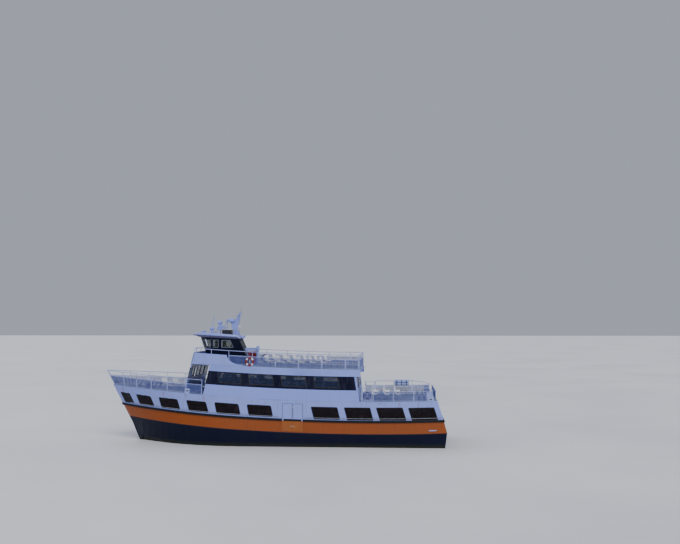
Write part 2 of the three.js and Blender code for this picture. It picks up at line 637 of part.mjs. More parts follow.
// Sun deck: a plate with a fascia hanging round it
const SUN_OVERHANG = 45;
function sunDeckRings(low, high, out) {
  const path = (h) => edgePath(h, h === low ? SUN_DECK_AFT[0] : SUN_DECK_AFT[1], frontAt(h));
  const bottom = path(low);
  const top = path(high);
  return bottom.map(([x0, y0, z0], k) => {
    const [x1, y1, z1] = top[k];
    return [[x0, y0 + out, z0], [x1, y1 + out, z1], [x1, -y1 - out, z1], [x0, -y0 - out, z0]];
  });
}
function bowedFront(low, high, out) {
  const rings = [];
  for (let k = 0; k <= 14; k++) {
    const share = -1 + k / 7;
    const bow = FRONT_CAMBER * (1 - share * share);
    const at = (h, back) => {
      const x = frontAt(h);
      const y = share * (edge(x, h)[1] + out);
      return [back ? x - 10 : x + bow, y, deckZ(back ? x - 10 : x + bow, h)];
    };
    rings.push([at(low, false), at(high, false), at(high, true), at(low, true)]);
  }
  return loft(rings);
}
const sunPlate = join([
  loft(sunDeckRings(SUN_DECK_UNDER, SUN_DECK, SUN_OVERHANG)),
  bowedFront(SUN_DECK_UNDER, SUN_DECK, SUN_OVERHANG)]);
const fasciaPort = sideBand([FASCIA_LOW, SUN_DECK_UNDER - GAP, SUN_DECK_UNDER + 5],
  [-7060, -7060, -7060], [4390, 4310, 4310], -1.5, SUN_OVERHANG);
const fasciaAft = crossWall({
  low: AFT_FASCIA_LOW, high: SUN_DECK_UNDER + 5, xLow: -7020, xHigh: -7020, thickness: 55,
  inset: -SUN_OVERHANG, camber: 0, columns: 2 });
const sunHole = stairHole(SUN_STAIR, 350, 1380, SUN_DECK);
place('sun_deck', join([sunPlate, fasciaPort, mirrorY(fasciaPort), fasciaAft]).subtract(sunHole), WHITE);

// Bulwark of the sun deck: solid forward, cut down in a quarter curve to the mesh rail
const CURVE = { low: 1770, high: 3000, steps: 6 };
const BULWARK_OUT = 35;
function sunBulwarkSide() {
  const xs = [CURVE.low];
  for (let k = 1; k <= CURVE.steps; k++) {
    xs.push(CURVE.low + (CURVE.high - CURVE.low) * Math.sin((k * Math.PI) / (2 * CURVE.steps)));
  }
  FRAMES.filter((x) => x > CURVE.high && x < frontAt(BULWARK_TOP) - 50).forEach((x) => xs.push(x));
  const rings = xs.map((x) => {
    const share = Math.min(1, (x - CURVE.low) / (CURVE.high - CURVE.low));
    const top = SUN_DECK + 40 + (BULWARK_TOP - SUN_DECK - 40) * (1 - Math.sqrt(1 - share * share));
    return bulwarkRing(x, x, top);
  });
  rings.push(bulwarkRing(frontAt(SUN_DECK) - 80, frontAt(BULWARK_TOP) - 80, BULWARK_TOP));
  return loft(rings);
}
function bulwarkRing(xLow, xHigh, top) {
  const [, y0, z0] = edge(xLow, SUN_DECK);
  const [, y1] = edge(xHigh, BULWARK_TOP);
  const share = (top - SUN_DECK) / (BULWARK_TOP - SUN_DECK);
  const y = y0 + (y1 - y0) * share;
  const z = top + deckZ(xHigh, SUN_DECK) - SUN_DECK;
  return [
    [xLow, y0 + BULWARK_OUT, z0 + GAP], [xHigh, y + BULWARK_OUT, z],
    [xHigh, y, z], [xLow, y0, z0 + GAP]];
}
placePair('sun_bulwark', sunBulwarkSide(), WHITE);
const frontBulwark = crossWall({
  low: SUN_DECK, high: BULWARK_TOP, xLow: frontAt(SUN_DECK), xHigh: frontAt(BULWARK_TOP),
  thickness: 40, inset: -BULWARK_OUT, camber: FRONT_CAMBER, columns: 14 });
const acrossFront = (h, share, inset) => {
  const x = frontAt(h) + FRONT_CAMBER * (1 - share * share) - 20;
  return [x, share * (edge(frontAt(h), h)[1] - inset), deckZ(x, h)];
};

// Rails: a hand rail on posts, over a mesh panel under a middle bar.
// Columns of posts: x at the foot, x at the head, height of the foot
const PANEL_HALF = 6;
const BAR_HALF = 18;
function railing({ base, from, to, panelTo = to, posts, handTop, meshTop, inset, drop = null }) {
  const path = (h, end = to) => raise(edgePath(h, from, end(h)), -inset, 0);
  const dropAt = (x) => (drop ? drop.depth * Math.min(1, Math.max(0, drop.start - x) / drop.run) : 0);
  const hand = path(base + handTop).map(([x, y, z]) => [x, y, z - dropAt(x)]);
  const low = path(base + 20, panelTo);
  const high = path(base + meshTop, panelTo);
  const panel = loft(low.map(([x0, y0, z0], k) => {
    const [x1, y1, z1] = high[k];
    const half = [
      [x0, y0, z0, PANEL_HALF], [x1, y1, z1 - BAR_HALF, PANEL_HALF], [x1, y1, z1 - BAR_HALF, BAR_HALF],
      [x1, y1, z1 + BAR_HALF, BAR_HALF]];
    const port = half.map(([x, y, z, out]) => [x, y + out, z]);
    const inner = half.reverse().map(([x, y, z, out]) => [x, y - out, z]);
    return [...port, ...inner];
  }));
  const uprights = posts.map(([xFoot, xHead = xFoot, foot = base]) => {
    const [, y0, z0] = edge(xFoot, foot);
    const [, y1, z1] = edge(xHead, base + handTop);
    const lean = (Math.abs(y1 - y0) + Math.abs(xHead - xFoot)) / (z1 - z0);
    const rise = RAIL_R * lean + Math.abs(seatRise(xFoot, RAIL_R));
    const seat = [xFoot, y0 - inset, z0 + GAP + rise];
    return bar(seat, [xHead, y1 - inset, z1 - dropAt(xHead)], RAIL_R, RAIL_R, 4);
  });
  return join([pipe(hand, RAIL_R, 4), panel, ...uprights]);
}
const frontShares = Array.from({ length: 15 }, (_, k) => -1 + k / 7);
const frontHand = pipe(frontShares.map((share) => acrossFront(SUN_RAIL_TOP, share, 60)), RAIL_R, 4);
const frontPosts = [-0.97, -0.5, 0, 0.5, 0.97].map((share) =>
  bar(acrossFront(BULWARK_TOP - 40, share, 0), acrossFront(SUN_RAIL_TOP, share, 60), 16, 16, 4));
place('sun_bulwark_front', join([frontBulwark, frontHand, ...frontPosts]), WHITE);

const RAIL_IN = 40;
const SUN_RAIL_IN = 26;
placePair('sun_rail', railing({
  base: SUN_DECK, from: -6950, to: () => frontAt(SUN_RAIL_TOP) - 60, panelTo: () => 2900,
  inset: SUN_RAIL_IN,
  handTop: SUN_RAIL_TOP - SUN_DECK, meshTop: MESH_RAIL,
  posts: [[-6920], [-5950], [-4180], [-2420], [-680], [1060], [2850], [4200], [5390]],
}), GALVANISED);

// Rails of the foredeck and of the after part of the upper deck
placePair('bow_rail', railing({
  base: UPPER_DECK, from: 4860, to: (h) => stemAt(h) - 70, inset: RAIL_IN, handTop: HAND_RAIL,
  meshTop: MESH_RAIL,
  posts: [[4900], [6180], [7750], [9150], [10500], [11700, 11850],
    [stemAt(UPPER_DECK) - 130, stemAt(UPPER_DECK + HAND_RAIL) - 130]],
}), GALVANISED);

const GATE = { fore: -7190, aft: -7960, post: -7130, hinge: -7180 };
const aftRail = railing({
  base: UPPER_DECK, from: -12420, to: () => GATE.aft - 20, inset: RAIL_IN, handTop: HAND_RAIL,
  meshTop: MESH_RAIL, posts: [[-12380], [-11000], [-9500], [GATE.aft - 40]],
  drop: { start: -11700, depth: 330, run: 800 },
});
function gatePost() {
  const [x, y, z] = edge(GATE.post, UPPER_DECK);
  const sill = pipe(raise(edgePath(UPPER_DECK + 30, GATE.aft - 60, GATE.post), -RAIL_IN, 0), BAR_HALF, 4);
  const foot = z + GAP + Math.abs(seatRise(x, RAIL_R));
  return join([bar([x, y - RAIL_IN, foot], [x, y - RAIL_IN, z + HAND_RAIL], RAIL_R, RAIL_R, 4), sill]);
}
placePair('aft_rail', join([aftRail, gatePost()]), GALVANISED);

function gate() {
  const z = UPPER_DECK + sheer(GATE.fore);
  const y = edge(GATE.fore, UPPER_DECK)[1] - RAIL_IN;
  const [x0, x1] = [GATE.aft + 30, GATE.fore];
  const frame = [
    pipe([[x0, y, z + 100], [x1, y, z + 100]], 20), pipe([[x0, y, z + 1000], [x1, y, z + 1000]], 20),
    bar([x0 + 20, y, z + 90], [x0 + 20, y, z + 1010], 20, 20, 6),
    bar([x1 - 20, y, z + 90], [x1 - 20, y, z + 1010], 20, 20, 6),
    box(x0 + 20, x1 - 20, y - 6, y + 6, z + 100, z + 700),
    barrels([GATE.hinge, y, z], [GATE.hinge, y, z + 1000], GATE.post - RAIL_R - GATE.hinge - GAP)];
  return join(frame);
}
placePair('gate', gate(), GALVANISED);

const STERN_RAIL = 750;
function sternRail() {
  const x = sternAt(UPPER_DECK) + 120;
  const y = edge(x, UPPER_DECK)[1] - 120;
  const z = deckZ(x, UPPER_DECK);
  const top = z + STERN_RAIL;
  const parts = [
    pipe([[x, -y, top], [x, 0, top], [x, y, top]], RAIL_R, 4),
    box(x - PANEL_HALF, x + PANEL_HALF, -y, y, z + 20, top - 10)];
  for (const share of [-1, -0.5, 0, 0.5, 1]) {
    const at = share * (y - 30);
    parts.push(bar([x, at, z + 1.5], [x, at, top], RAIL_R, RAIL_R, 4));
  }
  return join(parts);
}
place('stern_rail', sternRail(), GALVANISED);

function sunSternRail() {
  const x = -6990;
  const y = edge(x, SUN_DECK)[1] - 60;
  const z = deckZ(x, SUN_DECK);
  const across = (h, r, s) => pipe([[x, -y, z + h], [x, 0, z + h], [x, y, z + h]], r, s);
  const high = SUN_RAIL_TOP - SUN_DECK;
  const parts = [
    across(high, RAIL_R, 4), across(MESH_RAIL, BAR_HALF, 4),
    box(x - PANEL_HALF, x + PANEL_HALF, -y, y, z + 20, z + MESH_RAIL)];
  for (const share of [-1, -0.5, 0, 0.5, 1]) {
    const at = share * (y - 30);
    parts.push(bar([x, at, z + 1], [x, at, z + high], RAIL_R, RAIL_R, 4));
  }
  return join(parts);
}
place('sun_rail_aft', sunSternRail(), GALVANISED);

// Pilothouse: corners as [x at deck, y at deck, x at roof, y at roof], port side from aft to fore
const HOUSE_SIDE = 850;
const HOUSE_BROW = 440;
const HOUSE_PLAN = [
  [1700, HOUSE_SIDE, 2600, HOUSE_SIDE], [4660, HOUSE_SIDE, 5300, HOUSE_SIDE],
  [5080, HOUSE_BROW, 5720, HOUSE_BROW]];
const HOUSE_Z = SUN_DECK + sheer(3300);
const HOUSE_TOP = 1885;
const HOUSE_RISE = 0.05;
const hz = (above) => HOUSE_Z + above;
const headAt = (x) => HOUSE_TOP + HOUSE_RISE * (x - HOUSE_PLAN[0][2]);
function houseRing(shrink, level, zAt) {
  const port = HOUSE_PLAN.map(([x0, y0, x1, y1]) => {
    const x = level ? x1 : x0;
    const y = level ? y1 : y0;
    const inner = x < 3300 ? x + shrink : x - shrink;
    return [inner, y - shrink, zAt(inner)];
  });
  return [...port, ...port.slice().reverse().map(([x, y, z]) => [x, -y, z])];
}
const houseOuter = loft([
  houseRing(0, 0, (x) => deckZ(x, SUN_DECK) + GAP), houseRing(0, 1, (x) => hz(headAt(x)))]);
const houseInner = loft([
  houseRing(60, 0, () => hz(-300)), houseRing(60, 1, (x) => hz(headAt(x) + 100))]);
const HOUSE_DOOR = { aft: 3440, fore: 4050, low: 120, high: 1860 };
const SILL = 1215;
const FORE_HEAD = 1800;
const SIDE_PANES = [
  [[4830, SILL], [4975, SILL], [5140, FORE_HEAD], [4830, FORE_HEAD]],
  [[4215, SILL], [4635, SILL], [4635, FORE_HEAD], [4215, FORE_HEAD]],
];
const AFTER_PANE = [[3020, SILL], [3975, SILL], [3975, 1780], [3290, 1780]];
const paneCut = (pane, y0, y1) => prism(pane.map(([x, above]) => [x, hz(above)]), y0, y1, 40);
const houseCuts = [
  ...SIDE_PANES.map((pane) => paneCut(pane, -3000, 3000)),
  paneCut(AFTER_PANE, 0, 3000),
  box(HOUSE_DOOR.aft, HOUSE_DOOR.fore, -3000, 0, hz(HOUSE_DOOR.low), hz(HOUSE_DOOR.high)),
  box(4900, 7000, -390, -30, hz(SILL), hz(FORE_HEAD)),
  box(4900, 7000, 30, 390, hz(SILL), hz(FORE_HEAD)),
  box(4800, 7000, 500, 770, hz(SILL), hz(FORE_HEAD)),
  box(4800, 7000, -770, -500, hz(SILL), hz(FORE_HEAD)),
  box(1000, 3000, -600, 600, hz(SILL), hz(1740)),
];
place('pilothouse', houseOuter.subtract(houseInner).subtract(join(houseCuts)), NAVY);

const houseDoorLine = (above) => [HOUSE_DOOR.fore - LEAF_GAP, 5 - HOUSE_SIDE, hz(above)];
const houseDoor = box(
  HOUSE_DOOR.aft + LEAF_GAP, HOUSE_DOOR.fore - LEAF_GAP, 5 - HOUSE_SIDE, 45 - HOUSE_SIDE,
  hz(HOUSE_DOOR.low + LEAF_GAP), hz(HOUSE_DOOR.high - LEAF_GAP));
const doorPane = box(HOUSE_DOOR.aft + 100, HOUSE_DOOR.fore - 100, -3000, 0, hz(SILL), hz(1740));
const houseHinges = barrels(houseDoorLine(HOUSE_DOOR.low), houseDoorLine(HOUSE_DOOR.high));
place('pilothouse_door', join([houseDoor.subtract(doorPane), houseHinges]), NAVY);

// Roof slab with a visor that thins to its front edge.
// Columns: x, half width, how far the underside lifts off the walls' heads, top
const ROOF = [
  [2520, 880, 0, 1985],
  [2720, 940, 0, 2200],
  [5300, 940, 0, 2385],
  [5760, 880, 0, 2400],
  [6290, 760, 150, 2270],
];
const roofRings = ROOF.map(([x, half, lift, high]) => {
  const low = headAt(x) + lift;
  const deep = high - low;
  const section = [
    [half - 0.3 * deep, hz(low) + GAP], [half, hz(low + 0.46 * deep)],
    [half - 0.1 * deep, hz(high - 0.1 * deep)], [half - 0.4 * deep, hz(high)]];
  return [
    ...section.map(([y, z]) => [x, y, z]), ...section.slice().reverse().map(([y, z]) => [x, -y, z])];
});

// Mast: a post raked aft on a lamp box, with a gusset that carries the radar dome, and a cross arm
const roofSeat = (x) => {
  const row = ROOF.findIndex(([at]) => at > x);
  const [x0, , , z0] = ROOF[row - 1];
  const [x1, , , z1] = ROOF[row];
  return hz(z0 + ((z1 - z0) * (x - x0)) / (x1 - x0));
};
const GUSSET = [
  [2900, 8700], [3220, 8660], [3350, 8800], [3350, 9170], [3440, 9235], [3440, 9295], [3120, 9295],
  [3040, 9450], [2830, 9850], [2700, 9850]];
function mast() {
  const onRoof = (x) => roofSeat(x) + GAP;
  const level = (aft, fore, half, zAt) => [
    [aft, -half, zAt(aft)], [aft, half, zAt(aft)], [fore, half, zAt(fore)], [fore, -half, zAt(fore)]];
  const post = loft([level(2970, 3230, 100, onRoof), level(2560, 2760, 60, () => 10040)]);
  const lampBox = loft([level(2730, 3000, 170, onRoof), level(2730, 3000, 170, () => 8620)]);
  const arm = bar([2680, -600, 9900], [2680, 600, 9900], 22, 22, 6);
  const gusset = prism(GUSSET, -58, 58);
  const whip = bar([2640, 0, 10000], [2620, 0, 10560], 12, 8, 6);
  return join([post, lampBox, arm, gusset, whip]);
}
function lathe(profile, x, y, z, steps = 14) {
  const geometry = new THREE.LatheGeometry(profile.map(([r, h]) => new THREE.Vector2(r, h)), steps);
  geometry.rotateX(Math.PI / 2);
  geometry.translate(x, y, z);
  return solidOf(geometry);
}
const radarDome = lathe([[0, 0], [270, 0], [330, 50], [330, 190], [260, 262], [0, 280]], 3400, 0, 9290);
place('mast', join([mast(), radarDome]), WHITE);

// Searchlight: a drum on a turning gear case, over a boxed stand on three legs
const LIGHT_X = 4200;
const STAND = 480;
const STAND_FEET = [[4280, -200], [4280, 200], [4620, 0]];
function searchlightStand() {
  const foot = roofSeat(LIGHT_X);
  const legs = STAND_FEET.map(([x, y]) =>
    bar([x, y, roofSeat(x) - 30], [(x + LIGHT_X) / 2, y / 2, foot + STAND - 100], 30, 30, 6));
  return join([...legs, box(3890, 4520, -150, 150, foot + STAND - 160, foot + STAND)]);
}
const LIGHT_Z = roofSeat(LIGHT_X) + STAND + GAP;
const drumZ = LIGHT_Z + 410;
const searchlight = join([
  box(3940, 4460, -130, 130, LIGHT_Z, LIGHT_Z + 190),
  bar([LIGHT_X + 60, 0, LIGHT_Z + 180], [LIGHT_X + 60, 0, drumZ], 80, 80, 10),
  bar([LIGHT_X - 110, 0, drumZ], [LIGHT_X + 260, 0, drumZ], 130, 160, 12)]);
place('searchlight', searchlight, WHITE);

// Aerial: a dome on a short post with a stout whip standing on it
const WHIP = { x: 4810, y: 450, lean: 4672, top: 9840 };
const whipZ = roofSeat(WHIP.x);
const AERIAL_DOME = [[0, -30], [110, -30], [110, 260], [205, 300], [215, 380], [175, 450], [0, 470]];
const aerial = join([
  lathe(AERIAL_DOME, WHIP.x, WHIP.y, whipZ),
  bar([WHIP.x - 20, WHIP.y, whipZ + 440], [WHIP.lean, WHIP.y, WHIP.top], 33, 28, 8)]);

// A hatch forward and a boxed skylight between the mast and the searchlight
const roofBox = (x0, x1, half, high) => loft([
  [[x0, -half, roofSeat(x0) - 20], [x0, half, roofSeat(x0) - 20], [x1, half, roofSeat(x1) - 20],
    [x1, -half, roofSeat(x1) - 20]],
  [[x0, -half, high], [x0, half, high], [x1, half, high], [x1, -half, high]]]);
const hatches = [roofBox(3255, 4045, 350, 8655), roofBox(5480, 5740, 280, 8590)];
place('pilothouse_roof', join([loft(roofRings), searchlightStand(), aerial, ...hatches]), WHITE);

// Stair hood on the port side behind the pilothouse, its front leaning forward and its after end open
const HOOD = { aft: 1000, fore: 1450, rake: 0.4, inner: 770, outer: 1630, high: 1330, wall: 45 };
function stairHood() {
  const { aft, fore, rake, inner, outer, high, wall } = HOOD;
  const footZ = deckZ(fore, SUN_DECK);
  const foreX = (z) => fore + rake * (z - footZ);
  const low = deckZ(aft, SUN_DECK) + GAP;
  const top = low + high;
  const shell = prism([[aft, low], [fore, footZ + 2 * GAP], [foreX(top), top], [aft, top]], inner, outer);
  const open = aft - 100;
  const room = [
    [open, low - 60], [fore - wall, low - 60], [foreX(top) - 2 * wall, top - wall], [open, top - wall]];
  return shell.subtract(prism(room, inner + wall, outer - wall));
}
place('stair_hood', stairHood(), WHITE);
const VENT = [850, 2150];
const ventZ = deckZ(VENT[0], SUN_DECK) + seatRise(VENT[0], 75);
place('deck_vent', join([
  bar([...VENT, ventZ + GAP], [...VENT, ventZ + 1200], 75, 75, 10),
  bar([...VENT, ventZ + 1150], [...VENT, ventZ + 1520], 135, 120, 10)]), WHITE);

// Benches: rows of seats with slanted backs on two runners. x lists the seat middles.
function benches(xs, y0, y1, h, seat = 430, back = 830, facing = -1) {
  const parts = [];
  for (const x of xs) {
    const z = deckZ(x, h);
    const flip = (dx) => x + facing * dx;
    parts.push(box(x - 190, x + 190, y0, y1, z + seat - 35, z + seat));
    parts.push(prism([
      [flip(-150), z + seat - 20], [flip(-180), z + seat - 20],
      [flip(-280), z + back], [flip(-240), z + back],
    ], y0, y1));
    for (const y of [y0 + 150, y1 - 210]) {
      parts.push(box(x - 150, x + 150, y, y + 60, z + 10, z + seat - 20));
    }
  }
  const ends = [Math.min(...xs) - 150, Math.max(...xs) + 150];
  const frames = [ends[0], ...FRAMES.filter((f) => f > ends[0] + 5 && f < ends[1] - 5), ends[1]];
  for (const y of [y0 + 150, y1 - 210]) {
    parts.push(loft(frames.map((x) => {
      const z = deckZ(x, h);
      return [[x, y, z + GAP], [x, y + 60, z + GAP], [x, y + 60, z + 40], [x, y, z + 40]];
    })));
  }
  return join(parts);
}
placePair('sun_benches', benches([-20, -870, -1670, -2500, -3380, -4200], 1050, 2950, SUN_DECK), WHITE);
placePair('aft_benches', benches([-8070, -8980, -9800], 700, 2300, UPPER_DECK), WHITE);
place('bow_bench', benches([7600, 8500], -700, 700, UPPER_DECK), WHITE);

// Life float on its stand, at the starboard rail
function lifeFloat() {
  const z = UPPER_DECK + sheer(-10150);
  const float = prism(
    [[-10750, z + 780], [-9550, z + 780], [-9550, z + 1180], [-10750, z + 1180]], -3350, -2350, 150);
  const legs = [[-10500, -3250], [-10500, -2500], [-9800, -3250], [-9800, -2500]].map(([x, y]) =>
    bar([x, y, deckZ(x, UPPER_DECK) + GAP + Math.abs(seatRise(x, 22))], [x, y, z + 820], 22, 22, 4));
  return join([float, ...legs]);
}
place('life_float', lifeFloat(), WHITE);

export default ferry;
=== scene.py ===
import math

import bmesh
import bpy
from mathutils import Matrix, Vector


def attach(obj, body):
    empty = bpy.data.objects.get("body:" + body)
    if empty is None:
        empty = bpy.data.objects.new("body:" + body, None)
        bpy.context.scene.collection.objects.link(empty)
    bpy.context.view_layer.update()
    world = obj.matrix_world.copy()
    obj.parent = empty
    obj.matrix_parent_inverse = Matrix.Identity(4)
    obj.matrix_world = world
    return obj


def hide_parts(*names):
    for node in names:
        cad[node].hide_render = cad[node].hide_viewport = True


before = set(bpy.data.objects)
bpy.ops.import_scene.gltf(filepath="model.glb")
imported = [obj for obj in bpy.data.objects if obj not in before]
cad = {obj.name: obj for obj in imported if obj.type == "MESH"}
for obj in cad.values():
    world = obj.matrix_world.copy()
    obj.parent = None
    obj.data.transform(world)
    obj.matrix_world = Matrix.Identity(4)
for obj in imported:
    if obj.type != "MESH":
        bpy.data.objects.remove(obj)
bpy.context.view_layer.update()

# Camera
# A long view from a quay off the port side, four degrees from square to the ship and a little over the
# pilothouse roof's height, turned up slightly so that the ship lies low in a picture of 680 x 544.
SENSOR = 36.0
# In pixels: the picture's width, and how far off the eye is at the picture's own scale
PICTURE_WIDTH, EYE_AWAY = 680, 815.3
camera_data = bpy.data.cameras.new("quay_camera")
camera_data.sensor_width = SENSOR
camera_data.lens = SENSOR * EYE_AWAY / PICTURE_WIDTH
camera_data.clip_start = 0.5
camera_data.clip_end = 3000
camera = bpy.data.objects.new("quay_camera", camera_data)
bpy.context.scene.collection.objects.link(camera)
camera.location = (-9.799, 64.325, 8.8)
turn, pitch = math.radians(4.0), math.radians(3.94)
heading = Vector((math.sin(turn) * math.cos(pitch), -math.cos(turn) * math.cos(pitch), math.sin(pitch)))
camera.rotation_mode = "QUATERNION"
camera.rotation_quaternion = heading.to_track_quat("-Z", "Y")
bpy.context.scene.camera = camera

# Studio floor and light
# A wide pale floor lies at the water's surface. A soft grey sky and two broad, soft suns light it,
# the stronger one high over the camera's right shoulder.
def new_finish(name, gloss=0.5, metallic=0.0):
    """A finish with a gloss that is the same all over it, and the nodes that it is made of."""
    finish = bpy.data.materials.new(name)
    finish.use_nodes = True
    shader = finish.node_tree.nodes["Principled BSDF"]
    shader.inputs["Specular IOR Level"].default_value = gloss
    shader.inputs["Metallic"].default_value = metallic
    return finish, finish.node_tree


def lay(finish, colour, rough, relief=None, alpha=None):
    """Lays a colour, a roughness and what else is given on a finish, and gives the finish back."""
    tree = finish.node_tree
    sockets = tree.nodes["Principled BSDF"].inputs
    for name, value in (("Base Color", colour), ("Roughness", rough), ("Normal", relief), ("Alpha", alpha)):
        if value is not None:
            tree.links.new(value, sockets[name])
    return finish


def step(tree, kind, inputs=None, out=0, **settings):
    """Adds one shader node and gives back one of its outputs. inputs are values or other outputs."""
    made = tree.nodes.new(kind)
    for key, value in settings.items():
        setattr(made, key, value)
    for key, value in (inputs or {}).items():
        socket = made.inputs[key]
        if isinstance(value, bpy.types.NodeSocket):
            tree.links.new(value, socket)
        else:
            socket.default_value = value
    return made.outputs[out]


def calc(tree, operation, a, b=0.0):
    return step(tree, "ShaderNodeMath", {0: a, 1: b}, operation=operation)


def blend_colour(tree, share, a, b):
    """Goes from one colour to another. Each is three numbers or a node's output."""
    a, b = ((*shade, 1) if isinstance(shade, tuple) else shade for shade in (a, b))
    shades = {"Factor": share, 6: a, 7: b}
    return step(tree, "ShaderNodeMix", shades, out=2, data_type="RGBA", clamp_factor=True)


def ramp(tree, value, low, high, to_low=0.0, to_high=1.0):
    inputs = {"Value": value, 1: low, 2: high, 3: to_low, 4: to_high}
    return step(tree, "ShaderNodeMapRange", inputs, clamp=True)


def noise(tree, scale, detail=3.0, rough=0.55, stretch=(1, 1, 1)):
    """Cloudy noise that stays put in the ship's own frame, stretched along each axis."""
    spot = step(tree, "ShaderNodeTexCoord", out=3)
    place = step(tree, "ShaderNodeMapping", {"Vector": spot, "Scale": stretch})
    inputs = {"Vector": place, "Scale": scale, "Detail": detail, "Roughness": rough}
    return step(tree, "ShaderNodeTexNoise", inputs)


FLOOR_REACH = 900
floor_finish, tree = new_finish("pale_floor")
clouds = ramp(tree, noise(tree, 0.05), 0.35, 0.65)
stone = blend_colour(tree, clouds, (0.66, 0.67, 0.69), (0.73, 0.74, 0.76))
lay(floor_finish, stone, ramp(tree, clouds, 0, 1, 0.55, 0.7))
floor_mesh = bpy.data.meshes.new("studio_floor")
corners = [(FLOOR_REACH * x, FLOOR_REACH * y, 0) for x, y in ((-1, -1), (1, -1), (1, 1), (-1, 1))]
floor_mesh.from_pydata(corners, [], [(0, 1, 2, 3)])
floor_mesh.materials.append(floor_finish)
studio_floor = bpy.data.objects.new("studio_floor", floor_mesh)
bpy.context.scene.collection.objects.link(studio_floor)

sky = bpy.data.worlds.new("studio_sky")
bpy.context.scene.world = sky
sky.use_nodes = True
glow = sky.node_tree.nodes["Background"].inputs
glow["Color"].default_value = (0.74, 0.80, 0.93, 1)
glow["Strength"].default_value = 0.5
# Columns: name, where it shines from, strength, softness in degrees, colour
for name, source, strength, softness, colour in (
    ("key_light", (-30, 60, 55), 2.3, 40, (0.97, 0.98, 1.0)),
    ("fill_light", (40, -30, 45), 0.9, 60, (0.9, 0.92, 1.0)),
):
    light = bpy.data.lights.new(name, "SUN")
    light.energy = strength
    light.angle = math.radians(softness)
    light.color = colour
    lamp = bpy.data.objects.new(name, light)
    bpy.context.scene.collection.objects.link(lamp)
    lamp.rotation_mode = "QUATERNION"
    lamp.rotation_quaternion = Vector(source).to_track_quat("Z", "Y")

# Hull
# Welded steel plating with a hard chine and a skeg, carrying a bed for two engines.
# It is near-black navy above the waterline and dull red antifouling below, with a scum line between.
HALF_BEAM = 3.6
NOSE = 0.06
UPPER_DECK = 3.38
SUN_DECK = 5.73
# The sheer rises along a parabola from its low point as far as the tangent, and runs straight from there
SHEER_CURVE = 0.0029
SHEER_LOW = -7.5
SHEER_TANGENT = 3.5
SHEER_RUN = SHEER_TANGENT - SHEER_LOW
# Columns: x and height of a point on the stem, and the stem's slope
STEM = (12.01, 2.76, 0.551)
# Columns: x and height of the stern's knuckle, its slope above that, its slope below
STERN = (-13.44, 1.19, 0.308, 0.14)


def sheer(x):
    curved = min(x, SHEER_TANGENT) - SHEER_LOW
    return SHEER_CURVE * (curved * curved + 2 * SHEER_RUN * max(0, x - SHEER_TANGENT))


def stem_at(h):
    slope = 2 * SHEER_CURVE * SHEER_RUN
    rest = h + sheer(SHEER_TANGENT) - slope * SHEER_TANGENT - STEM[1]
    return (STEM[0] + STEM[2] * rest) / (1 - STEM[2] * slope)


def stern_at(h):
    above = h + sheer(STERN[0]) - STERN[1]
    return STERN[0] + (STERN[2] * above if above > 0 else -STERN[3] * above)


def half_beam(x, h):
    """Half the ship's width, which narrows to the stem, a little to the stern, and over the upper deck."""
    fore = min(1, max(0, (x - 2) / (stem_at(h) - 2)))
    aft = min(1, max(0, (-7 - x) / (-7 - STERN[0])))
    lean = min(1, max(0, (8 - x) / 1.8)) * 0.05 * max(0, h - UPPER_DECK)
    full = (HALF_BEAM - NOSE) * (1 - fore**2.1) * (1 - 0.05 * aft * aft)
    return NOSE + full - min(lean, full / 2)


FRAMES = [*range(-12, 4), *(3.6 + 0.6 * k for k in range(12))]
outlines = {}


def outline(h):
    """The ship's port edge at a height over the sheer line, plated straight from frame to frame."""
    if h not in outlines:
        bow = [10.2 + share * (stem_at(h) - 10.2) for share in (0.35, 0.7, 1)]
        outlines[h] = [(x, half_beam(x, h), h + sheer(x)) for x in (stern_at(h), *FRAMES, *bow)]
    return outlines[h]


def frames_between(start, stop):
    return [start, *(x for x in FRAMES if start < x < stop), stop]


def edge(x, h):
    """A point of the ship's port edge."""
    line = outline(h)
    k = 0
    while k < len(line) - 2 and x > line[k + 1][0]:
        k += 1
    (x0, y0, z0), (x1, y1, z1) = line[k], line[k + 1]
    share = (x - x0) / (x1 - x0)
    return Vector((x, y0 + share * (y1 - y0), z0 + share * (z1 - z0)))


def axes(tree, way):
    """The x, y and z of a direction or a place."""
    split = tree.nodes.new("ShaderNodeSeparateXYZ")
    tree.links.new(way, split.inputs[0])
    return split.outputs


def in_ship(tree):
    """The x, y and z of the point in the ship's own frame."""
    return axes(tree, step(tree, "ShaderNodeTexCoord", out=3))


def over_sheer(tree):
    """The point's height over the ship's sheer line."""
    x, _, z = in_ship(tree)
    curved = calc(tree, "SUBTRACT", calc(tree, "MINIMUM", x, SHEER_TANGENT), SHEER_LOW)
    straight = calc(tree, "MAXIMUM", calc(tree, "SUBTRACT", x, SHEER_TANGENT), 0.0)
    straight = calc(tree, "MULTIPLY", straight, 2 * SHEER_RUN)
    both = calc(tree, "ADD", calc(tree, "MULTIPLY", curved, curved), straight)
    return calc(tree, "SUBTRACT", z, calc(tree, "MULTIPLY", both, SHEER_CURVE))


def bump(tree, height, strength, distance, under=None):
    """Relief from a height, over another relief if there is one under it."""
    inputs = {"Height": height, "Strength": strength, "Distance": distance}
    return step(tree, "ShaderNodeBump", {**inputs, "Normal": under} if under else inputs)


